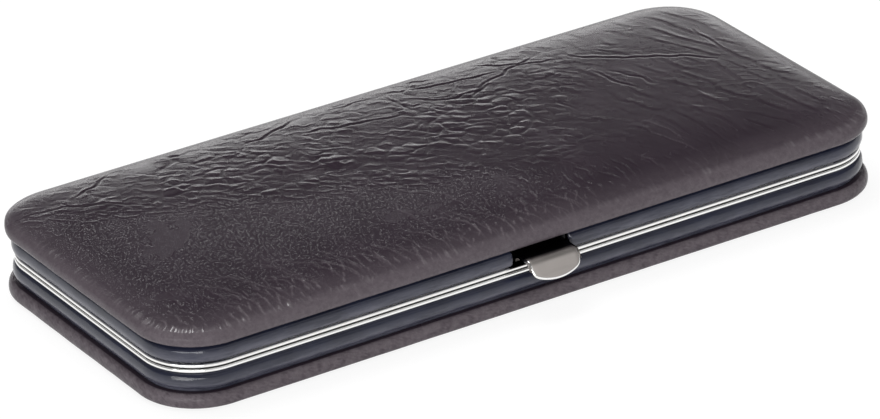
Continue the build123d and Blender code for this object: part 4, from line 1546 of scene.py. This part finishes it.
def set_camera(stage):
    """A camera turned round the case, raised and rolled as the settings say."""
    camera = bpy.data.objects.new("camera", bpy.data.cameras.new("camera"))
    bpy.context.scene.collection.objects.link(camera)
    bpy.context.scene.camera = camera
    az, el, roll = stage.azimuth, stage.elevation, stage.roll
    back = Vector((math.sin(az) * math.cos(el), -math.cos(az) * math.cos(el), math.sin(el)))
    right = Vector((math.cos(az), math.sin(az), 0))
    up = back.cross(right)
    rolled_right = right * math.cos(roll) + up * math.sin(roll)
    rolled_up = up * math.cos(roll) - right * math.sin(roll)
    turn = Matrix((rolled_right, rolled_up, back)).transposed()
    middle = Vector((0, 0, PARTING))
    camera.matrix_world = Matrix.Translation(middle + back * stage.distance) @ turn.to_4x4()
    camera.data.sensor_width, camera.data.lens = SENSOR_WIDTH, stage.lens
    camera.data.shift_x, camera.data.shift_y = stage.shift_x, stage.shift_y
    camera.data.clip_start, camera.data.clip_end = CLIP_START, CLIP_END


class CASE_OT_stage(bpy.types.Operator):
    """Sets the pale floor, the soft light and the camera"""

    bl_idname = "manicure_case.stage"
    bl_label = "Stage"

    def execute(self, context):
        stage = settings().stage
        set_camera(stage)
        set_world(stage.world)
        corners = [(x * FLOOR_REACH, y * FLOOR_REACH, -FLOOR_GAP)
                   for x, y in ((-1, -1), (1, -1), (1, 1), (-1, 1))]
        floor = make_piece("floor", corners, [(0, 1, 2, 3)], floor_paper())
        area_light("back_light", (0.36, 0.84, 0.17), (0.75, 0.12), stage.key)
        area_light("top_light", (-0.1, 0.35, 1.3), (0.8, 0.5), stage.top)
        area_light("fill_light", (0.15, -1.0, 0.85), (1.3, 0.9), stage.fill)
        area_light("corner_light", (-0.95, -0.80, 0.21), (1.2, 0.34), stage.corner)
        context.scene.view_settings.view_transform = "Standard"
        return {"FINISHED"}


# ---------------------------------------------------------------- add-on
class CASE_PT_panel(bpy.types.Panel):
    """Lists the steps that dress the case, and its settings"""

    bl_idname = "CASE_PT_panel"
    bl_label = "Manicure Case"
    bl_space_type = "VIEW_3D"
    bl_region_type = "UI"
    bl_category = "Manicure Case"

    def draw(self, context):
        for step in STEPS:
            self.layout.operator(step.bl_idname)
        for group in (settings().form, settings().crease, settings().finish, settings().stage):
            box = self.layout.box()
            for name in group.__annotations__:
                box.prop(group, name)


STEPS = (CASE_OT_covers, CASE_OT_bands, CASE_OT_metalwork, CASE_OT_lining, CASE_OT_straps, CASE_OT_stage)
CLASSES = (CaseForm, CreaseForm, Finishes, StageForm, CaseSettings, *STEPS, CASE_PT_panel)


def register():
    for cls in CLASSES:
        bpy.utils.register_class(cls)
    bpy.types.Scene.manicure_case = PointerProperty(type=CaseSettings)


def unregister():
    del bpy.types.Scene.manicure_case
    for cls in reversed(CLASSES):
        bpy.utils.unregister_class(cls)


def main():
    register()
    for step in STEPS:
        group, name = step.bl_idname.split(".")
        getattr(getattr(bpy.ops, group), name)()


if __name__ == "__main__":
    main()
